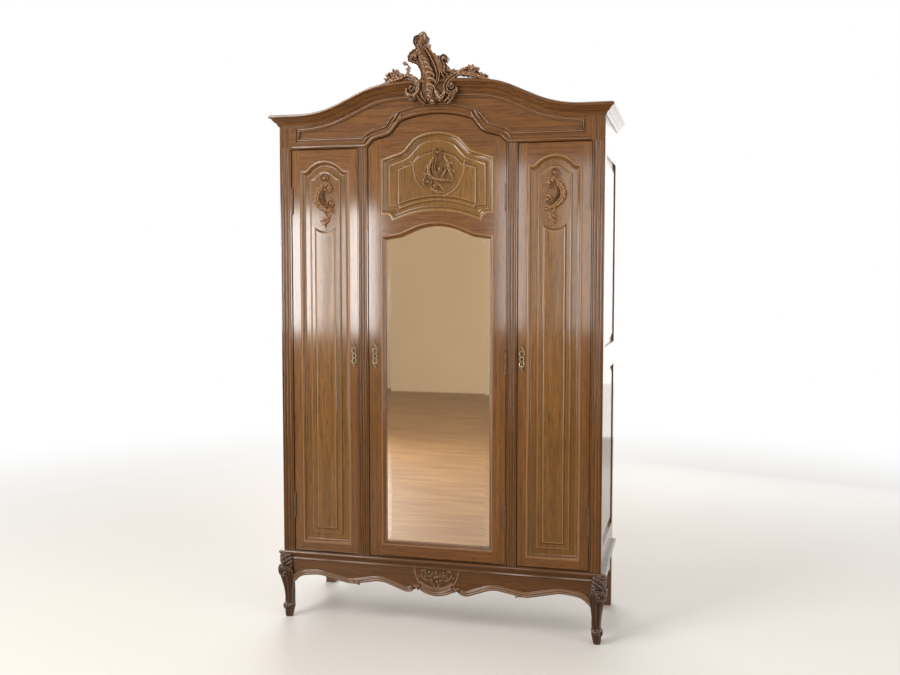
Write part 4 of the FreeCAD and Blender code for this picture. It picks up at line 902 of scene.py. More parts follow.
CARTOUCHE = (
    ("leaf", 13, ((-68, 204, 6, 5), (-52, 190, 11, 7), (-26, 180, 13, 8), (0, 177, 13, 8),
                  (26, 180, 13, 8), (52, 190, 11, 7), (68, 204, 6, 5))),
    ("ridge", 0, ((-52, 256, 6, 5), (-46, 240, 8, 6), (-32, 230, 9, 7), (-18, 234, 8, 6),
                  (-18, 244, 6, 5))),
    ("ridge", 0, ((52, 256, 6, 5), (46, 240, 8, 6), (32, 230, 9, 7), (18, 234, 8, 6),
                  (18, 244, 6, 5))),
    ("leaf", 3, ((-12, 222, 7, 6), (0, 226, 12, 8), (14, 230, 7, 6))),
    ("leaf", 3, ((-66, 236, 6, 5), (-58, 220, 10, 7), (-44, 210, 9, 6), (-34, 212, 5, 4))),
    ("leaf", 3, ((66, 238, 6, 5), (58, 222, 10, 7), (44, 212, 9, 6), (34, 212, 5, 4))),
    ("cup", 0, ((-28, 214, 6, 6), (-20, 202, 9, 8), (-8, 196, 7, 6))),
    ("cup", 0, ((28, 216, 6, 6), (20, 204, 9, 8), (8, 196, 7, 6))),
    ("round", 0, ((-97, 266, 5, 3), (-93, 242, 6, 4), (-85, 216, 6, 4), (-74, 194, 5, 4))),
    ("round", 0, ((97, 266, 5, 3), (93, 242, 6, 4), (85, 216, 6, 4), (74, 194, 5, 4))),
)
CARTOUCHE_BEADS = ((-60, 250, 4.5, 6), (-30, 246, 5, 7), (60, 252, 4.5, 6), (32, 246, 5, 7),
                   (-18, 212, 5, 8), (4, 208, 5, 8), (18, 212, 4.5, 7), (-48, 226, 4, 6),
                   (48, 228, 4, 6), (0, 246, 5, 7), (-74, 224, 4, 5), (74, 226, 4, 5),
                   (-8, 188, 4, 8), (10, 188, 4, 8))
CARTOUCHE_LINE = ((-74, 200, 6, 5), (-50, 184, 7, 6), (-25, 174, 7, 6), (0, 170, 7, 6),
                  (25, 174, 7, 6), (50, 184, 7, 6), (74, 200, 6, 5))
KNOTS = (
    ("leaf", 3, ((98, 186, 7, 5), (86, 182, 13, 8), (72, 186, 8, 6))),
    ("leaf", 3, ((90, 188, 7, 6), (82, 177, 12, 8), (76, 166, 5, 5))),
    ("leaf", 4, ((318, 186, 7, 5), (334, 181, 13, 8), (350, 176, 13, 8), (368, 178, 6, 5))),
    ("leaf", 3, ((352, 188, 7, 6), (345, 177, 12, 9), (336, 167, 5, 5))),
)
KNOT_BEADS = ((84, 181, 5, 8), (344, 179, 5, 8), (322, 182, 3.5, 5), (362, 174, 3.5, 5))
PLATE = (
    ((0, 7, 4, 3), (-7, 3, 4, 3), (-7, -7, 4, 3), (0, -12, 4, 3), (7, -7, 4, 3),
     (7, 3, 4, 3), (0, 7, 4, 3)),
    ((-4, 6, 3, 2), (-9, 15, 5, 4), (-8, 26, 5, 4), (0, 30, 4, 3), (3, 24, 3, 2)),
    ((4, 6, 3, 2), (9, 17, 4, 3), (8, 30, 4, 4), (1, 42, 4, 3), (-2, 52, 2, 2)),
    ((4, -10, 3, 2), (9, -19, 5, 4), (8, -30, 5, 4), (0, -34, 4, 3), (-3, -28, 3, 2)),
    ((-4, -10, 3, 2), (-9, -21, 4, 3), (-7, -34, 4, 4), (0, -45, 4, 3), (2, -53, 2, 2)),
)


def carve(shell, strokes, beads=(), foot=0.0, turn=1, bulk=1.0):
    """Adds strokes and beads at a foot height, turned left or right and made fuller."""
    for section, lobes, rows in strokes:
        shell.stroke([(turn * across, up, width * bulk, height * bulk, foot)
                      for across, up, width, height in rows], section, lobes)
    for across, up, radius, out in beads:
        shell.ball(turn * across, up, radius, foot + out * bulk - radius * BEAD_SUNK)


def stippled(name, region, body, plane, material, spacing, size, seed):
    """Fine punched dots spread over a flat region, made by geometry nodes."""
    mesh = bpy.data.meshes.new(name)
    mesh.from_pydata([(across * MM, plane, up * MM) for across, up in region], [],
                     [tuple(range(len(region)))])
    piece = plain_piece(name, mesh)
    tree = bpy.data.node_groups.new(name, "GeometryNodeTree")
    face = tree.interface
    face.new_socket("Ground", in_out="INPUT", socket_type="NodeSocketGeometry")
    amounts = {}
    for label, kind, amount in (("Spacing", "NodeSocketFloat", spacing * MM),
                                ("Dot Size", "NodeSocketFloat", size * MM),
                                ("Seed", "NodeSocketInt", seed)):
        socket = face.new_socket(label, in_out="INPUT", socket_type=kind)
        amounts[socket.identifier] = amount
    face.new_socket("Dots", in_out="OUTPUT", socket_type="NodeSocketGeometry")
    start, spread, dot, vary, seat, real, paint, end = (tree.nodes.new(kind) for kind in (
        "NodeGroupInput", "GeometryNodeDistributePointsOnFaces", "GeometryNodeMeshIcoSphere",
        "FunctionNodeRandomValue", "GeometryNodeInstanceOnPoints",
        "GeometryNodeRealizeInstances", "GeometryNodeSetMaterial", "NodeGroupOutput"))
    spread.distribute_method = "POISSON"
    spread.inputs["Density Max"].default_value = 3.0e5
    dot.inputs["Subdivisions"].default_value = 1
    smallest, largest = vary.inputs[2], vary.inputs[3]
    smallest.default_value, largest.default_value = 0.5, 1.7
    paint.inputs["Material"].default_value = material
    for giver, output, taker, entry in (
            (start, "Ground", spread, "Mesh"), (start, "Spacing", spread, "Distance Min"),
            (start, "Seed", spread, "Seed"), (start, "Dot Size", dot, "Radius"),
            (start, "Seed", vary, "Seed"), (spread, "Points", seat, "Points"),
            (dot, "Mesh", seat, "Instance"), (vary, 1, seat, "Scale"),
            (seat, "Instances", real, "Geometry"), (real, "Geometry", paint, "Geometry"),
            (paint, "Geometry", end, "Dots")):
        tree.links.new(giver.outputs[output], taker.inputs[entry])
    modifier = piece.modifiers.new("dots", "NODES")
    modifier.node_group = tree
    for identifier, amount in amounts.items():
        modifier[identifier] = amount
    settled(piece)
    piece.data.shade_smooth()
    mount(piece, body, "dark_oak")


# Operators

class WARDROBE_OT_wood(bpy.types.Operator):
    """Gives every board its oak, with the grain along its length"""
    bl_idname = "wardrobe.wood"
    bl_label = "Oak boards"

    def execute(self, context):
        dress(oak("oak_upright", "z", wood_tones(0.82, 0.97), 1.0),
              "front_left_post", "front_right_post", "rear_left_post", "rear_right_post",
              "left_divider", "right_divider", "left_side_panels", "right_side_panels",
              "frieze_blocks")
        dress(oak("oak_door_stile", "z", wood_tones(0.98, 0.98), 21.0),
              "left_door_stiles", "right_door_stiles", "centre_door_stiles")
        dress(oak("oak_level", "x", wood_tones(0.85, 0.94), 31.0),
              "frieze", "left_door_rails", "right_door_rails", "centre_door_rails")
        # The low boards are darker, partly their own tone and partly painted shade for light that
        # falls from above.
        dress(oak("oak_low", "x", wood_tones(0.54, 0.92), 37.0),
              "front_apron", "base_moulding", "rear_rail")
        dress(oak("oak_cornice", "x", wood_tones(0.76, 0.94), 45.0),
              "frieze_bead", "cornice_front")
        dress(oak("oak_deep", "y", wood_tones(1.0, 0.95), 41.0),
              "cornice_sides", "side_aprons", "left_side_rails", "right_side_rails",
              "top_frame")
        inner_tones = ((0.16, 0.085, 0.035), (0.33, 0.19, 0.085), (0.46, 0.29, 0.14))
        dress(oak("oak_plain_upright", "z", inner_tones, 71.0, gloss=0.2),
              "back_panels", "back_frame", "left_partition", "right_partition",
              "mirror_backing")
        dress(oak("oak_plain_level", "x", inner_tones, 81.0, gloss=0.2),
              "bottom_board", "top_board", "left_shelves", "right_shelves",
              "shelf_battens", "hat_shelf", "hanging_rail")
        return {"FINISHED"}


class WARDROBE_OT_metal(bpy.types.Operator):
    """Gives the locks, hinges and plates their old metal, and the plates their scrolls"""
    bl_idname = "wardrobe.metal"
    bl_label = "Locks and hinges"

    def execute(self, context):
        brass = aged_metal("old_brass", (0.42, 0.34, 0.22), (0.12, 0.08, 0.045), 0.22, 3.0)
        plate = aged_metal("dull_plate", (0.10, 0.065, 0.035), (0.05, 0.03, 0.016), 0.4, 7.0)
        iron = aged_metal("old_iron", (0.15, 0.10, 0.065), (0.06, 0.036, 0.022), 0.42, 13.0)
        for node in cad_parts:
            if node.endswith("escutcheon"):
                dress(plate, node)
                low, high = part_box(node)
                scrolls = Shell(((low.x + high.x) / 2, low.y, (low.z + high.z) / 2))
                for rows in PLATE:
                    scrolls.stroke([(*row, -0.3) for row in rows], sink=0.6)
                mount(turned(f"{node}_scrolls", scrolls, brass, 60),
                      node.replace("_escutcheon", ""), "brass")
            elif node == "rail_sockets":
                dress(brass, node)
            elif node.endswith(("hinge_leaves", "lock", "bolt")):
                dress(iron, node)
        return {"FINISHED"}


class WARDROBE_OT_mirror(bpy.types.Operator):
    """Silvers the glass of the centre door"""
    bl_idname = "wardrobe.mirror"
    bl_label = "Mirror"

    def execute(self, context):
        dress(silvered_glass("mirror_silver"), "mirror_glass")
        return {"FINISHED"}


class WARDROBE_OT_side_panels(bpy.types.Operator):
    """Makes the moulded and fielded panels of the side doors with their leaf sprays"""
    bl_idname = "wardrobe.side_panels"
    bl_label = "Side door panels"

    def execute(self, context):
        wood = oak("oak_side_panel", "z", wood_tones(1.0, 1.08), 51.0, SIDE_MIDDLE * MM,
                   hollows=True)
        carved = oak("oak_spray", "z", wood_tones(1.12, 1.02), 57.0, hollows=True)
        ground = drawn_in(rounded(SIDE_STEP), STIPPLE_INSET)
        for door, side in (("left_door", -1), ("right_door", 1)):
            origin = (side * SIDE_MIDDLE * MM, FACE, 0)
            shell = Shell(origin)
            shell.border(SIDE_OPENING, BORDER)
            shell.border(SIDE_STEP, STEP, foot=DIRT_AND_SHADE_FOOT)
            shell.border(SIDE_FIELD, FIELD, foot=DIRT_AND_SHADE_FOOT)
            mount(turned(f"{door}_fielded_panel", shell, wood), door, "dark_oak",
                  f"{door}_panel")
            spray = Shell(origin)
            carve(spray, SPRAY, SPRAY_BEADS, SIDE_GROUND, -side, 1.15)
            mount(blended(f"{door}_leaf_spray", [spray], 0.9, carved), door, "dark_oak")
            head = [(x + side * SIDE_MIDDLE, z) for x, z in ground if z > STIPPLE_FOOT]
            right, left = max(head), min(head)
            region = [(right[0], STIPPLE_FOOT)] + head + [(left[0], STIPPLE_FOOT)]
            stippled(f"{door}_stippled_ground", region, door,
                     FACE - (SIDE_GROUND - 0.1) * MM, carved, spacing=3.1, size=1.05,
                     seed=5 + side)
        return {"FINISHED"}


class WARDROBE_OT_centre_panel(bpy.types.Operator):
    """Makes the arched panel over the mirror with its carved bow"""
    bl_idname = "wardrobe.centre_panel"
    bl_label = "Centre door panel"

    def execute(self, context):
        wood = oak("oak_centre_panel", "z", wood_tones(1.04, 1.14), 61.0, 0.0, hollows=True)
        carved = oak("oak_bow", "x", wood_tones(1.16, 1.1), 67.0, hollows=True)
        shell = Shell()
        shell.border(CENTRE_OPENING, BORDER, step=0.1)
        shell.border(corners_in(CENTRE_OPENING, STEP_INSET), STEP, step=0.1, foot=DIRT_AND_SHADE_FOOT)
        shell.border(CENTRE_FIELD, FIELD, step=0.1, foot=DIRT_AND_SHADE_FOOT)
        mount(turned("centre_door_fielded_panel", shell, wood), "centre_door", "dark_oak",
              "centre_door_panel")
        bow = Shell()
        carve(bow, BOW, BOW_BEADS, CENTRE_GROUND, bulk=1.2)
        mount(blended("centre_door_carved_bow", [bow], 0.9, carved), "centre_door", "dark_oak")
        lines = Shell()
        for rows in SHIELD:
            lines.stroke([(*row, CENTRE_GROUND) for row in rows])
        mount(turned("centre_door_shield_line", lines, wood, 60), "centre_door", "dark_oak")
        return {"FINISHED"}


class WARDROBE_OT_legs(bpy.types.Operator):
    """Carves the two cabriole legs, with scrolled knees and leafy blocks over them"""
    bl_idname = "wardrobe.legs"
    bl_label = "Cabriole legs"

    def execute(self, context):
        # The legs are darker, partly their own tone and partly painted shade low down.
        carved = oak("oak_leg", "z", wood_tones(0.3, 0.88), 97.0, gloss=0.5, hollows=True)
        heights, reaches, widths = np.array(LEG, float).T
        turn = np.linspace(0, 2 * math.pi, 40, endpoint=False)

        def skin(across, up):
            """How far out the leg's face lies beside its middle at a height."""
            half = np.interp(up, heights, widths) / 2
            middle = np.interp(up, heights, reaches) - half
            aside = min(abs(across - middle) / half, 0.94)
            return middle + half * (1 - aside ** LEG_ROUNDNESS) ** (1 / LEG_ROUNDNESS)

        pieces = []
        for name, side in (("left_leg_carving", -1), ("right_leg_carving", 1)):
            origin = (side * LEG_CORNER * MM, FACE, 0)
            body = Shell(origin, (side, 0, 0))
            rings = []
            for up, reach, width in LEG:
                half = width / 2
                aside = [np.sign(part) * np.abs(part) ** (2 / LEG_ROUNDNESS) * half
                         for part in (np.cos(turn), np.sin(turn))]
                rings.append(np.column_stack([reach - half + aside[0], reach - half + aside[1],
                                              np.full(len(turn), up)]))
            body.rings(rings)
            inner, outer = LEG_HEAD
            body.rings([np.array([(inner, inner, up), (outer, inner, up), (outer, outer, up),
                                  (inner, outer, up)]) for up in LEG_HEAD_HEIGHTS])
            shells = [body]
            for axes in (((side, 0, 0), (0, -1, 0)), ((0, -1, 0), (side, 0, 0))):
                shell = Shell(origin, *axes)
                for section, lobes, rows in LEG_CARVING:
                    shell.stroke([(across, up, width * LEG_CARVING_WIDTH,
                                   height * LEG_CARVING_HEIGHT,
                                   skin(across, up) - LEG_CARVING_SEAT)
                                  for across, up, width, height in rows],
                                 section, lobes, sink=5)
                for across, up, radius, out in LEG_BEADS:
                    shell.ball(across, up, radius, skin(across, up) + out - radius)
                shells.append(shell)
            pieces.append(blended(name, shells, 1.5, carved))
        mount(pieces[0], "carcass", "dark_oak", "front_legs")
        mount(pieces[1], "carcass", "dark_oak")
        return {"FINISHED"}


class WARDROBE_OT_apron(bpy.types.Operator):
    """Adds the apron's cartouche, its leaf knots and the two ribs along its edge"""
    bl_idname = "wardrobe.apron"
    bl_label = "Apron carving"

    def execute(self, context):
        # The apron's carving is darker, partly its own tone and partly painted shade low down.
        carved = oak("oak_cartouche", "x", wood_tones(0.58), 107.0, hollows=True)
        edge = rounded(APRON_EDGE)
        ribs = Shell()
        for inset, width, height in RIBS:
            line = drawn_in(edge, inset)
            line = line[line[:, 1] < APRON_EDGE_TOP]
            for low, high in RIB_STRETCHES:
                rows = [(x, z, width, height, 1.0) for x, z in line if low <= x <= high]
                ribs.stroke(sorted(rows), per=2)
        ribs.stroke([(*row, APRON_GROUND) for row in CARTOUCHE_LINE])
        mount(blended("apron_ribs", [ribs], 1.2, carved), "carcass", "dark_oak")
        shell = Shell()
        carve(shell, CARTOUCHE, CARTOUCHE_BEADS, APRON_GROUND, bulk=1.1)
        for turn in (-1, 1):
            carve(shell, KNOTS, KNOT_BEADS, 2, turn, 1.1)
        mount(blended("apron_carving", [shell], 1.0, carved), "carcass", "dark_oak")
        return {"FINISHED"}


class WARDROBE_OT_mirror_frame(bpy.types.Operator):
    """Runs the rounded moulding round the mirror"""
    bl_idname = "wardrobe.mirror_frame"
    bl_label = "Mirror moulding"

    def execute(self, context):
        wood = oak("oak_mirror_frame", "z", wood_tones(0.92, 0.97), 111.0, hollows=True)
        shell = Shell()
        shell.border(MIRROR_OPENING, MIRROR_MOULDING, True, 0.1)
        mount(turned("mirror_frame", shell, wood), "centre_door", "dark_oak",
              "mirror_moulding")
        return {"FINISHED"}


class WARDROBE_OT_arrises(bpy.types.Operator):
    """Stands in for the plain boards with copies whose arrises are softly worn"""
    bl_idname = "wardrobe.arrises"
    bl_label = "Worn arrises"

    def execute(self, context):
        doors = ("left_door", "right_door", "centre_door")
        for node, width in SOFTENED:
            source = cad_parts[node]
            work = joined_faces(source)
            sharp = [edge for edge in work.edges
                     if edge.is_manifold and edge.calc_face_angle() > math.radians(40)]
            bmesh.ops.bevel(work, geom=sharp, offset=width * MM, segments=2, profile=0.6,
                            affect="EDGES", clamp_overlap=True)
            bmesh.ops.recalc_face_normals(work, faces=work.faces)
            mesh = source.data.copy()
            mesh.materials.clear()
            work.to_mesh(mesh)
            work.free()
            piece = plain_piece(f"{node}_worn", mesh, source.material_slots[0].material)
            body = next((door for door in doors if node.startswith(door)), "carcass")
            mount(finished(piece, 38), body, "dark_oak", node)
        return {"FINISHED"}


CREST_PLATE = (
    (-24, 2172), (36, 2170), (60, 2199), (90, 2212), (84, 2232), (80, 2262), (114, 2272),
    (186, 2266), (212, 2262), (186, 2284), (165, 2306), (126, 2296), (78, 2293), (56, 2318),
    (53, 2352), (24, 2356), (3, 2362), (-14, 2392), (-28, 2394), (-18, 2427), (-42, 2456),
    (-70, 2434), (-71, 2394), (-62, 2374), (-98, 2364), (-107, 2343), (-90, 2330),
    (-60, 2306), (-50, 2280), (-52, 2262), (-70, 2262), (-98, 2278), (-116, 2283), (-150, 2304),
    (-192, 2296), (-206, 2268), (-236, 2248), (-110, 2256), (-110, 2213), (-66, 2196),
)
CREST = (
    ("round", 0, ((-62, 2382, 22, 11), (-70, 2402, 30, 13), (-66, 2422, 42, 15),
                  (-59, 2438, 42, 17), (-51, 2450, 27, 16), (-46, 2457, 12, 12))),
    ("ridge", 0, ((-80, 2398, 12, 18), (-87, 2416, 14, 23), (-82, 2434, 14, 25),
                  (-68, 2437, 12, 25), (-66, 2424, 9, 22))),
    ("round", 0, ((-58, 2374, 9, 17), (-70, 2388, 11, 20), (-76, 2404, 9, 20))),
    ("round", 0, ((-60, 2392, 26, 10), (-60, 2366, 42, 11), (-48, 2336, 46, 12),
                  (-36, 2302, 42, 12), (-32, 2266, 40, 12), (-30, 2232, 42, 12),
                  (-24, 2202, 40, 12), (-16, 2180, 26, 10), (-14, 2168, 12, 8))),
    ("ridge", 0, ((-52, 2402, 15, 12), (-31, 2385, 21, 16), (-11, 2353, 23, 19),
                  (5, 2318, 21, 20), (12, 2288, 17, 20), (8, 2260, 13, 19),
                  (-4, 2240, 10, 17), (-18, 2230, 6, 15))),
    ("round", 0, ((-6, 2372, 6, 12), (9, 2344, 8, 16), (19, 2314, 8, 17), (25, 2290, 8, 17),
                  (38, 2268, 6, 15))),
    ("round", 0, ((16, 2360, 7, 12), (17, 2336, 7, 14), (24, 2311, 7, 15), (34, 2293, 7, 15),
                  (50, 2283, 6, 13))),
    ("ridge", 0, ((30, 2296, 17, 13), (31, 2320, 19, 16), (23, 2338, 14, 17),
                  (23, 2352, 13, 18), (35, 2358, 14, 18), (46, 2349, 13, 17),
                  (43, 2337, 9, 15))),
    ("cup", 3, ((38, 2296, 18, 14), (42, 2314, 18, 17), (38, 2330, 11, 15))),
    ("leaf", 9, ((50, 2300, 16, 12), (84, 2290, 24, 14), (122, 2284, 26, 14),
                 (158, 2276, 22, 13), (194, 2264, 16, 11), (224, 2255, 7, 7))),
    ("leaf", 4, ((86, 2284, 10, 12), (106, 2298, 17, 15), (128, 2306, 15, 14),
                 (144, 2316, 5, 8))),
    ("leaf", 3, ((150, 2284, 10, 12), (166, 2297, 14, 13), (178, 2306, 5, 8))),
    ("leaf", 3, ((180, 2270, 10, 11), (198, 2276, 13, 12), (214, 2272, 5, 7))),
    ("ridge", 0, ((96, 2284, 10, 13), (76, 2277, 15, 16), (56, 2262, 18, 18),
                  (42, 2240, 19, 19), (46, 2218, 18, 18), (64, 2208, 16, 17),
                  (82, 2216, 13, 16), (86, 2232, 9, 14))),
    ("ridge", 0, ((80, 2266, 8, 13), (64, 2254, 10, 16), (56, 2240, 10, 16),
                  (62, 2228, 9, 16), (74, 2230, 7, 14))),
    ("ridge", 0, ((-104, 2280, 10, 12), (-86, 2266, 11, 14), (-67, 2260, 12, 15),
                  (-57, 2276, 13, 15), (-58, 2300, 14, 15), (-74, 2327, 13, 15),
                  (-96, 2338, 10, 14))),
    ("round", 0, ((-112, 2284, 11, 10), (-118, 2304, 9, 11), (-115, 2322, 9, 11),
                  (-124, 2334, 10, 11))),
    ("cup", 6, ((-66, 2388, 18, 13), (-84, 2382, 25, 16), (-103, 2368, 25, 17),
                (-110, 2350, 19, 16), (-98, 2338, 12, 13))),
    ("ridge", 0, ((-78, 2348, 8, 14), (-92, 2356, 9, 15), (-88, 2370, 9, 16),
                  (-74, 2368, 7, 15))),
    ("leaf", 7, ((-134, 2288, 12, 12), (-108, 2284, 20, 15), (-86, 2268, 24, 17),
                 (-74, 2242, 24, 18), (-82, 2216, 21, 18), (-104, 2206, 17, 17),
                 (-122, 2218, 14, 16), (-124, 2236, 9, 14))),
    ("ridge", 0, ((-104, 2270, 8, 16), (-90, 2252, 9, 18), (-88, 2234, 9, 18),
                  (-100, 2224, 8, 17), (-110, 2234, 7, 16), (-104, 2244, 5, 15))),
    ("leaf", 10, ((-120, 2292, 14, 12), (-150, 2280, 24, 14), (-186, 2270, 22, 13),
                  (-222, 2258, 15, 11), (-256, 2245, 7, 7))),
    ("leaf", 3, ((-144, 2284, 10, 12), (-160, 2300, 14, 14), (-168, 2314, 6, 9))),
    ("leaf", 3, ((-192, 2274, 10, 12), (-202, 2290, 14, 13), (-198, 2306, 5, 8))),
    ("ridge", 0, ((-128, 2222, 7, 12), (-122, 2204, 10, 15), (-104, 2192, 11, 15),
                  (-84, 2196, 8, 13))),
    ("ridge", 0, ((-80, 2206, 8, 14), (-68, 2188, 10, 15), (-48, 2172, 7, 12))),
    ("round", 0, ((-62, 2222, 8, 15), (-56, 2198, 9, 15), (-42, 2180, 7, 13))),
    ("ridge", 0, ((88, 2222, 8, 12), (74, 2204, 10, 13), (62, 2184, 9, 12),
                  (46, 2168, 6, 9))),
    ("round", 0, ((66, 2208, 8, 12), (50, 2192, 9, 13), (34, 2174, 7, 11))),
    ("leaf", 3, ((40, 2220, 12, 14), (28, 2196, 15, 15), (12, 2178, 9, 12))),
    ("ridge", 0, ((-12, 2238, 7, 14), (-16, 2216, 9, 19), (-8, 2196, 9, 19),
                  (6, 2186, 7, 15))),
    ("round", 0, ((-4, 2226, 12, 15), (4, 2212, 25, 21), (12, 2196, 22, 20),
                  (18, 2184, 10, 13))),
    ("leaf", 3, ((-70, 2362, 9, 14), (-60, 2340, 18, 17), (-50, 2314, 16, 16),
                 (-46, 2288, 8, 13))),
    ("ridge", 0, ((-52, 2262, 7, 14), (-50, 2236, 10, 16), (-46, 2210, 10, 16),
                  (-40, 2190, 7, 13))),
)
CREST_BEADS = (
    (34, 2347, 6, 18), (-103, 2240, 5, 18), (-83, 2360, 6, 17),
    (-131, 2335, 9, 11), (150, 2303, 9, 15), (137, 2311, 7, 13), (165, 2303, 6, 13),
    (152, 2314, 5, 12), (104, 2297, 6, 14), (76, 2299, 6, 14), (187, 2281, 6, 12),
    (62, 2298, 6, 13),
    (66, 2243, 6, 17), (-206, 2290, 7, 13), (-196, 2300, 5, 12), (-214, 2276, 6, 12),
    (-142, 2290, 7, 13), (-160, 2308, 6, 13), (-178, 2311, 6, 13), (-118, 2298, 6, 12),
    (-122, 2312, 5, 11), (-66, 2372, 6, 17), (-54, 2358, 5, 18),
    (-76, 2382, 5, 15), (-12, 2180, 6, 15), (-30, 2186, 5, 15), (24, 2200, 5, 16),
    (52, 2188, 5, 14), (-90, 2202, 5, 16),
)
CREST_SCALLOPS = ((-50, 2350, 0.8), (-40, 2329, 0.95), (-30, 2308, 1.05), (-22, 2286, 1.1),
                  (-17, 2262, 1.1), (-21, 2238, 1.1), (-28, 2216, 1.0), (-29, 2195, 0.9),
                  (-20, 2176, 0.75))
CREST_FLOWERS = ((148, 2294, 15, 10), (-175, 2292, 17, 10), (-26, 2400, 7, 8))

# Rows of a scallop, before it is moved and scaled.
SCALLOP = ((-17, 5, 6, 10), (-6, 8, 13, 17), (7, 3, 15, 20), (17, -10, 7, 12))

# The crest was read in the plane of the face, and its carving stands nearer to the camera.
CREST_NEARNESS = 0.9913

# The crest's plate: its inset from the outline, its back, front edge and front, and the width
# of the chamfer between the last two. Carving stands on a foot, and what lies behind the
# ground's plane counts as hollow, so that the oak paints it with shade.
CREST_INSET = 2.5
CREST_BACK = 0.8
CREST_EDGE = 20
CREST_FRONT = 23
CREST_CHAMFER = 1.5
CREST_FOOT = 24
CREST_SINK = 16
CREST_BEAD_FOOT = 25
CREST_BLOSSOM_FOOT = 22
CREST_GROUND = 26


def toward_eye(across, up):
    """A place of the crest, drawn toward the camera's own."""
    return (EYE[0] + (across - EYE[0]) * CREST_NEARNESS, EYE[2] + (up - EYE[2]) * CREST_NEARNESS)


class WARDROBE_OT_crest(bpy.types.Operator):
    """Carves the pierced crest of scrolls, leaves and blossoms over the cornice"""
    bl_idname = "wardrobe.crest"
    bl_label = "Carved crest"

    def execute(self, context):
        carved = oak("oak_crest", "z", wood_tones(0.84), 91.0, gloss=0.95, hollows=True)
        crest = Shell()
        outline = drawn_in(np.array(CREST_PLATE, float), CREST_INSET)
        crest.rings([np.column_stack([ring[:, 0], np.full(len(ring), out), ring[:, 1]])
                     for ring, out in ((outline, CREST_BACK), (outline, CREST_EDGE),
                                       (drawn_in(outline, CREST_CHAMFER), CREST_FRONT))])
        strokes = list(CREST)
        for across, up, size in CREST_SCALLOPS:
            strokes.append(("round", 0, [
                (across + size * aside, up + size * above, size * width, size * height)
                for aside, above, width, height in SCALLOP]))
        for section, lobes, rows in strokes:
            crest.stroke([(*toward_eye(across, up), width, height, CREST_FOOT)
                          for across, up, width, height in rows], section, lobes,
                         sink=CREST_SINK)
        for across, up, radius, out in CREST_BEADS:
            spot = toward_eye(across, up)
            crest.ball(*spot, radius, CREST_BEAD_FOOT + out - radius * 0.4)
            crest.ball(*spot, radius * 0.8, CREST_BLOSSOM_FOOT)
        for across, up, radius, out in CREST_FLOWERS:
            crest.flower(*toward_eye(across, up), radius, CREST_BLOSSOM_FOOT + out,
                         radius * 0.4)
        mount(blended("crest_carving", [crest], 1.5, carved, FACE - CREST_GROUND * MM),
              "carcass", "dark_oak", "crest")
        return {"FINISHED"}


class WARDROBE_OT_frieze_lines(bpy.types.Operator):
    """Runs two thin lines round the frieze, with small leaves at its ears"""
    bl_idname = "wardrobe.frieze_lines"
    bl_label = "Frieze lines"

    def execute(self, context):
        lines = Shell((0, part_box("frieze")[0].y, 0))
        for turn in (-1, 1):
            for rows in EARS:
                lines.stroke([(turn * x, z, width, height, 0) for x, z, width, height in rows])
        outline = front_outline("frieze")
        for inset, width in FRIEZE_LINES:
            line = drawn_in(outline, inset)
            lines.stroke([(x, z, width, 4, 0) for x, z in np.vstack([line, line[:1]])], per=1)
        wood = oak("oak_line", "x", wood_tones(0.85), 47.0, hollows=True)
        mount(turned("frieze_ears", lines, wood, 60), "carcass", "dark_oak")
        return {"FINISHED"}


class WARDROBE_OT_stage(bpy.types.Operator):
    """Sets up the plain floor, the soft lamps and the camera"""
    bl_idname = "wardrobe.stage"
    bl_label = "Stage"

    def execute(self, context):
        scene = context.scene
        stage = scene.wardrobe_stage
        scene.view_settings.view_transform = "Standard"
        flat_sheet("floor", [(-9, -9, 0), (9, -9, 0), (9, 9, 0), (-9, 9, 0)],
                            plain_floor(tuple(stage.floor_tone)))
        wall = flat_sheet("backdrop", [(-14, -8, 0), (-14, -8, 10), (14, -8, 10), (14, -8, 0)],
                          plain_backdrop())
        wall.visible_camera = False
        wall.visible_diffuse = False
        wall.visible_shadow = False
        lamp("key", (-3.2, -3.8, 4.7), (0.0, -0.2, 1.2), 2.4, stage.key_power)
        lamp("fill", (3.6, -3.2, 2.2), (0.2, 0.0, 1.1), 2.6, stage.fill_power)
        lit_left, lit_right = (-0.5, -0.24, 1.5), (0.4, -0.24, 1.6)
        for name, across, up, target, width, height, share in (
                ("left pane", -2.53, 1.5, lit_left, 0.56, 1.1, 1.45),
                ("middle pane", -1.88, 1.5, lit_left, 0.3, 1.1, 1.45),
                ("right pane", -0.49, 1.7, lit_right, 0.26, 1.4, 0.7),
                ("far pane", 0.2, 1.7, lit_right, 0.56, 1.4, 0.42)):
            lamp(name, (across, -4.6, up), target, width,
                 share * width * stage.window_power, height)
        for name, across in (("left strip", -5.6), ("right strip", 5.6)):
            lamp(name, (across, -1.9, 1.5), (0, -0.24, 1.3), 1.1, stage.strip_power, 3.2)
        lamp("rear", (-1.2, 4.0, 3.0), (0.0, 0.0, 1.2), 3.0, 110)
        lamp("side", (1.7, 3.2, 1.4), (0.7, 0.0, 1.1), 2.4, 16)
        scene.world = studio_sky(stage.room_light)
        camera = bpy.data.objects.new("camera", bpy.data.cameras.new("camera"))
        scene.collection.objects.link(camera)
        downward, leftward = 0.0672, 0.2479
        camera.location = (EYE[0] * MM, EYE[1] * MM, stage.camera_height)
        camera.rotation_euler = (math.pi / 2 - downward, 0, leftward)
        camera.data.lens = 39.18
        camera.data.sensor_width = 36
        scene.camera = camera
        return {"FINISHED"}


def flat_sheet(name, corners, material):
    """A flat sheet over corners in metres, in one material."""
    mesh = bpy.data.meshes.new(name)
    mesh.from_pydata(corners, [], [tuple(range(len(corners)))])
    return plain_piece(name, mesh, material)


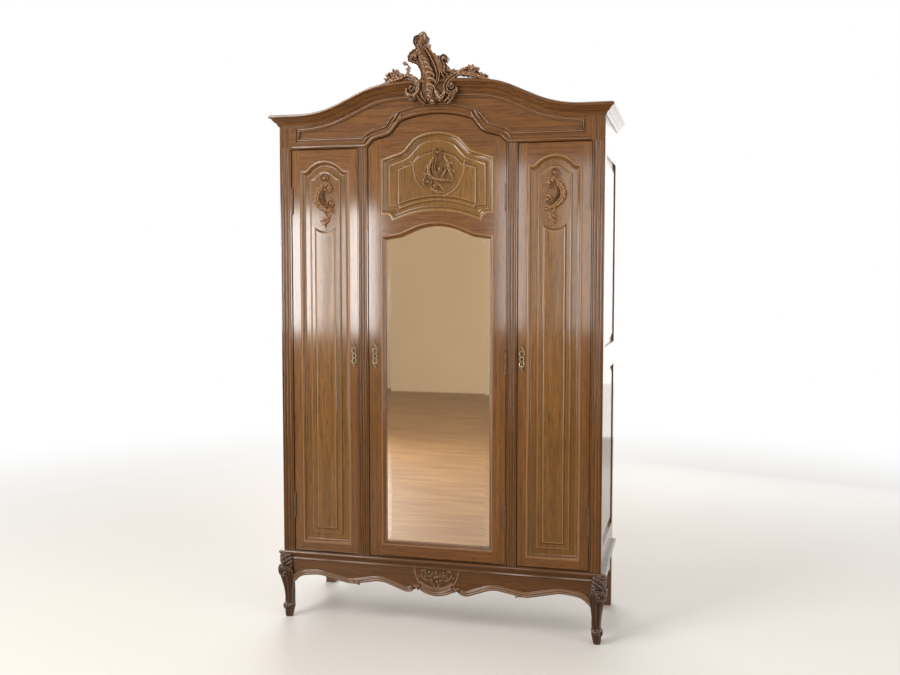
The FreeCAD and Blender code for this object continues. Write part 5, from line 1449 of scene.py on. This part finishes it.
def lamp(name, place, target, width, power, height=None):
    """Adds a soft rectangular lamp that faces a target, square where it has no height."""
    light = bpy.data.lights.new(name, "AREA")
    light.shape = "RECTANGLE"
    light.size = width
    light.size_y = height or width
    light.energy = power
    piece = bpy.data.objects.new(name, light)
    piece.location = place
    aim = Vector(target) - Vector(place)
    piece.rotation_euler = aim.to_track_quat("-Z", "Y").to_euler()
    bpy.context.scene.collection.objects.link(piece)


class WARDROBE_PT_panel(bpy.types.Panel):
    """Lists the steps that dress the wardrobe"""
    bl_label = "Wardrobe"
    bl_space_type = "VIEW_3D"
    bl_region_type = "UI"
    bl_category = "Wardrobe"

    def draw(self, context):
        for step in STEPS:
            self.layout.operator(step.bl_idname)


STEPS = (WARDROBE_OT_wood, WARDROBE_OT_side_panels, WARDROBE_OT_centre_panel,
         WARDROBE_OT_crest, WARDROBE_OT_frieze_lines, WARDROBE_OT_legs, WARDROBE_OT_apron,
         WARDROBE_OT_mirror_frame, WARDROBE_OT_arrises, WARDROBE_OT_metal,
         WARDROBE_OT_mirror, WARDROBE_OT_stage)
CLASSES = (WardrobeWood, WardrobeStage, *STEPS, WARDROBE_PT_panel)


def register():
    for kind in CLASSES:
        bpy.utils.register_class(kind)
    bpy.types.Scene.wardrobe_wood = PointerProperty(type=WardrobeWood)
    bpy.types.Scene.wardrobe_stage = PointerProperty(type=WardrobeStage)


def unregister():
    del bpy.types.Scene.wardrobe_wood
    del bpy.types.Scene.wardrobe_stage
    for kind in reversed(CLASSES):
        bpy.utils.unregister_class(kind)


def main():
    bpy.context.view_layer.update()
    register()
    bpy.ops.wardrobe.wood()
    bpy.ops.wardrobe.side_panels()
    bpy.ops.wardrobe.centre_panel()
    bpy.ops.wardrobe.crest()
    bpy.ops.wardrobe.frieze_lines()
    bpy.ops.wardrobe.legs()
    bpy.ops.wardrobe.apron()
    bpy.ops.wardrobe.mirror_frame()
    bpy.ops.wardrobe.arrises()
    bpy.ops.wardrobe.metal()
    bpy.ops.wardrobe.mirror()
    bpy.ops.wardrobe.stage()


if __name__ == "__main__":
    main()
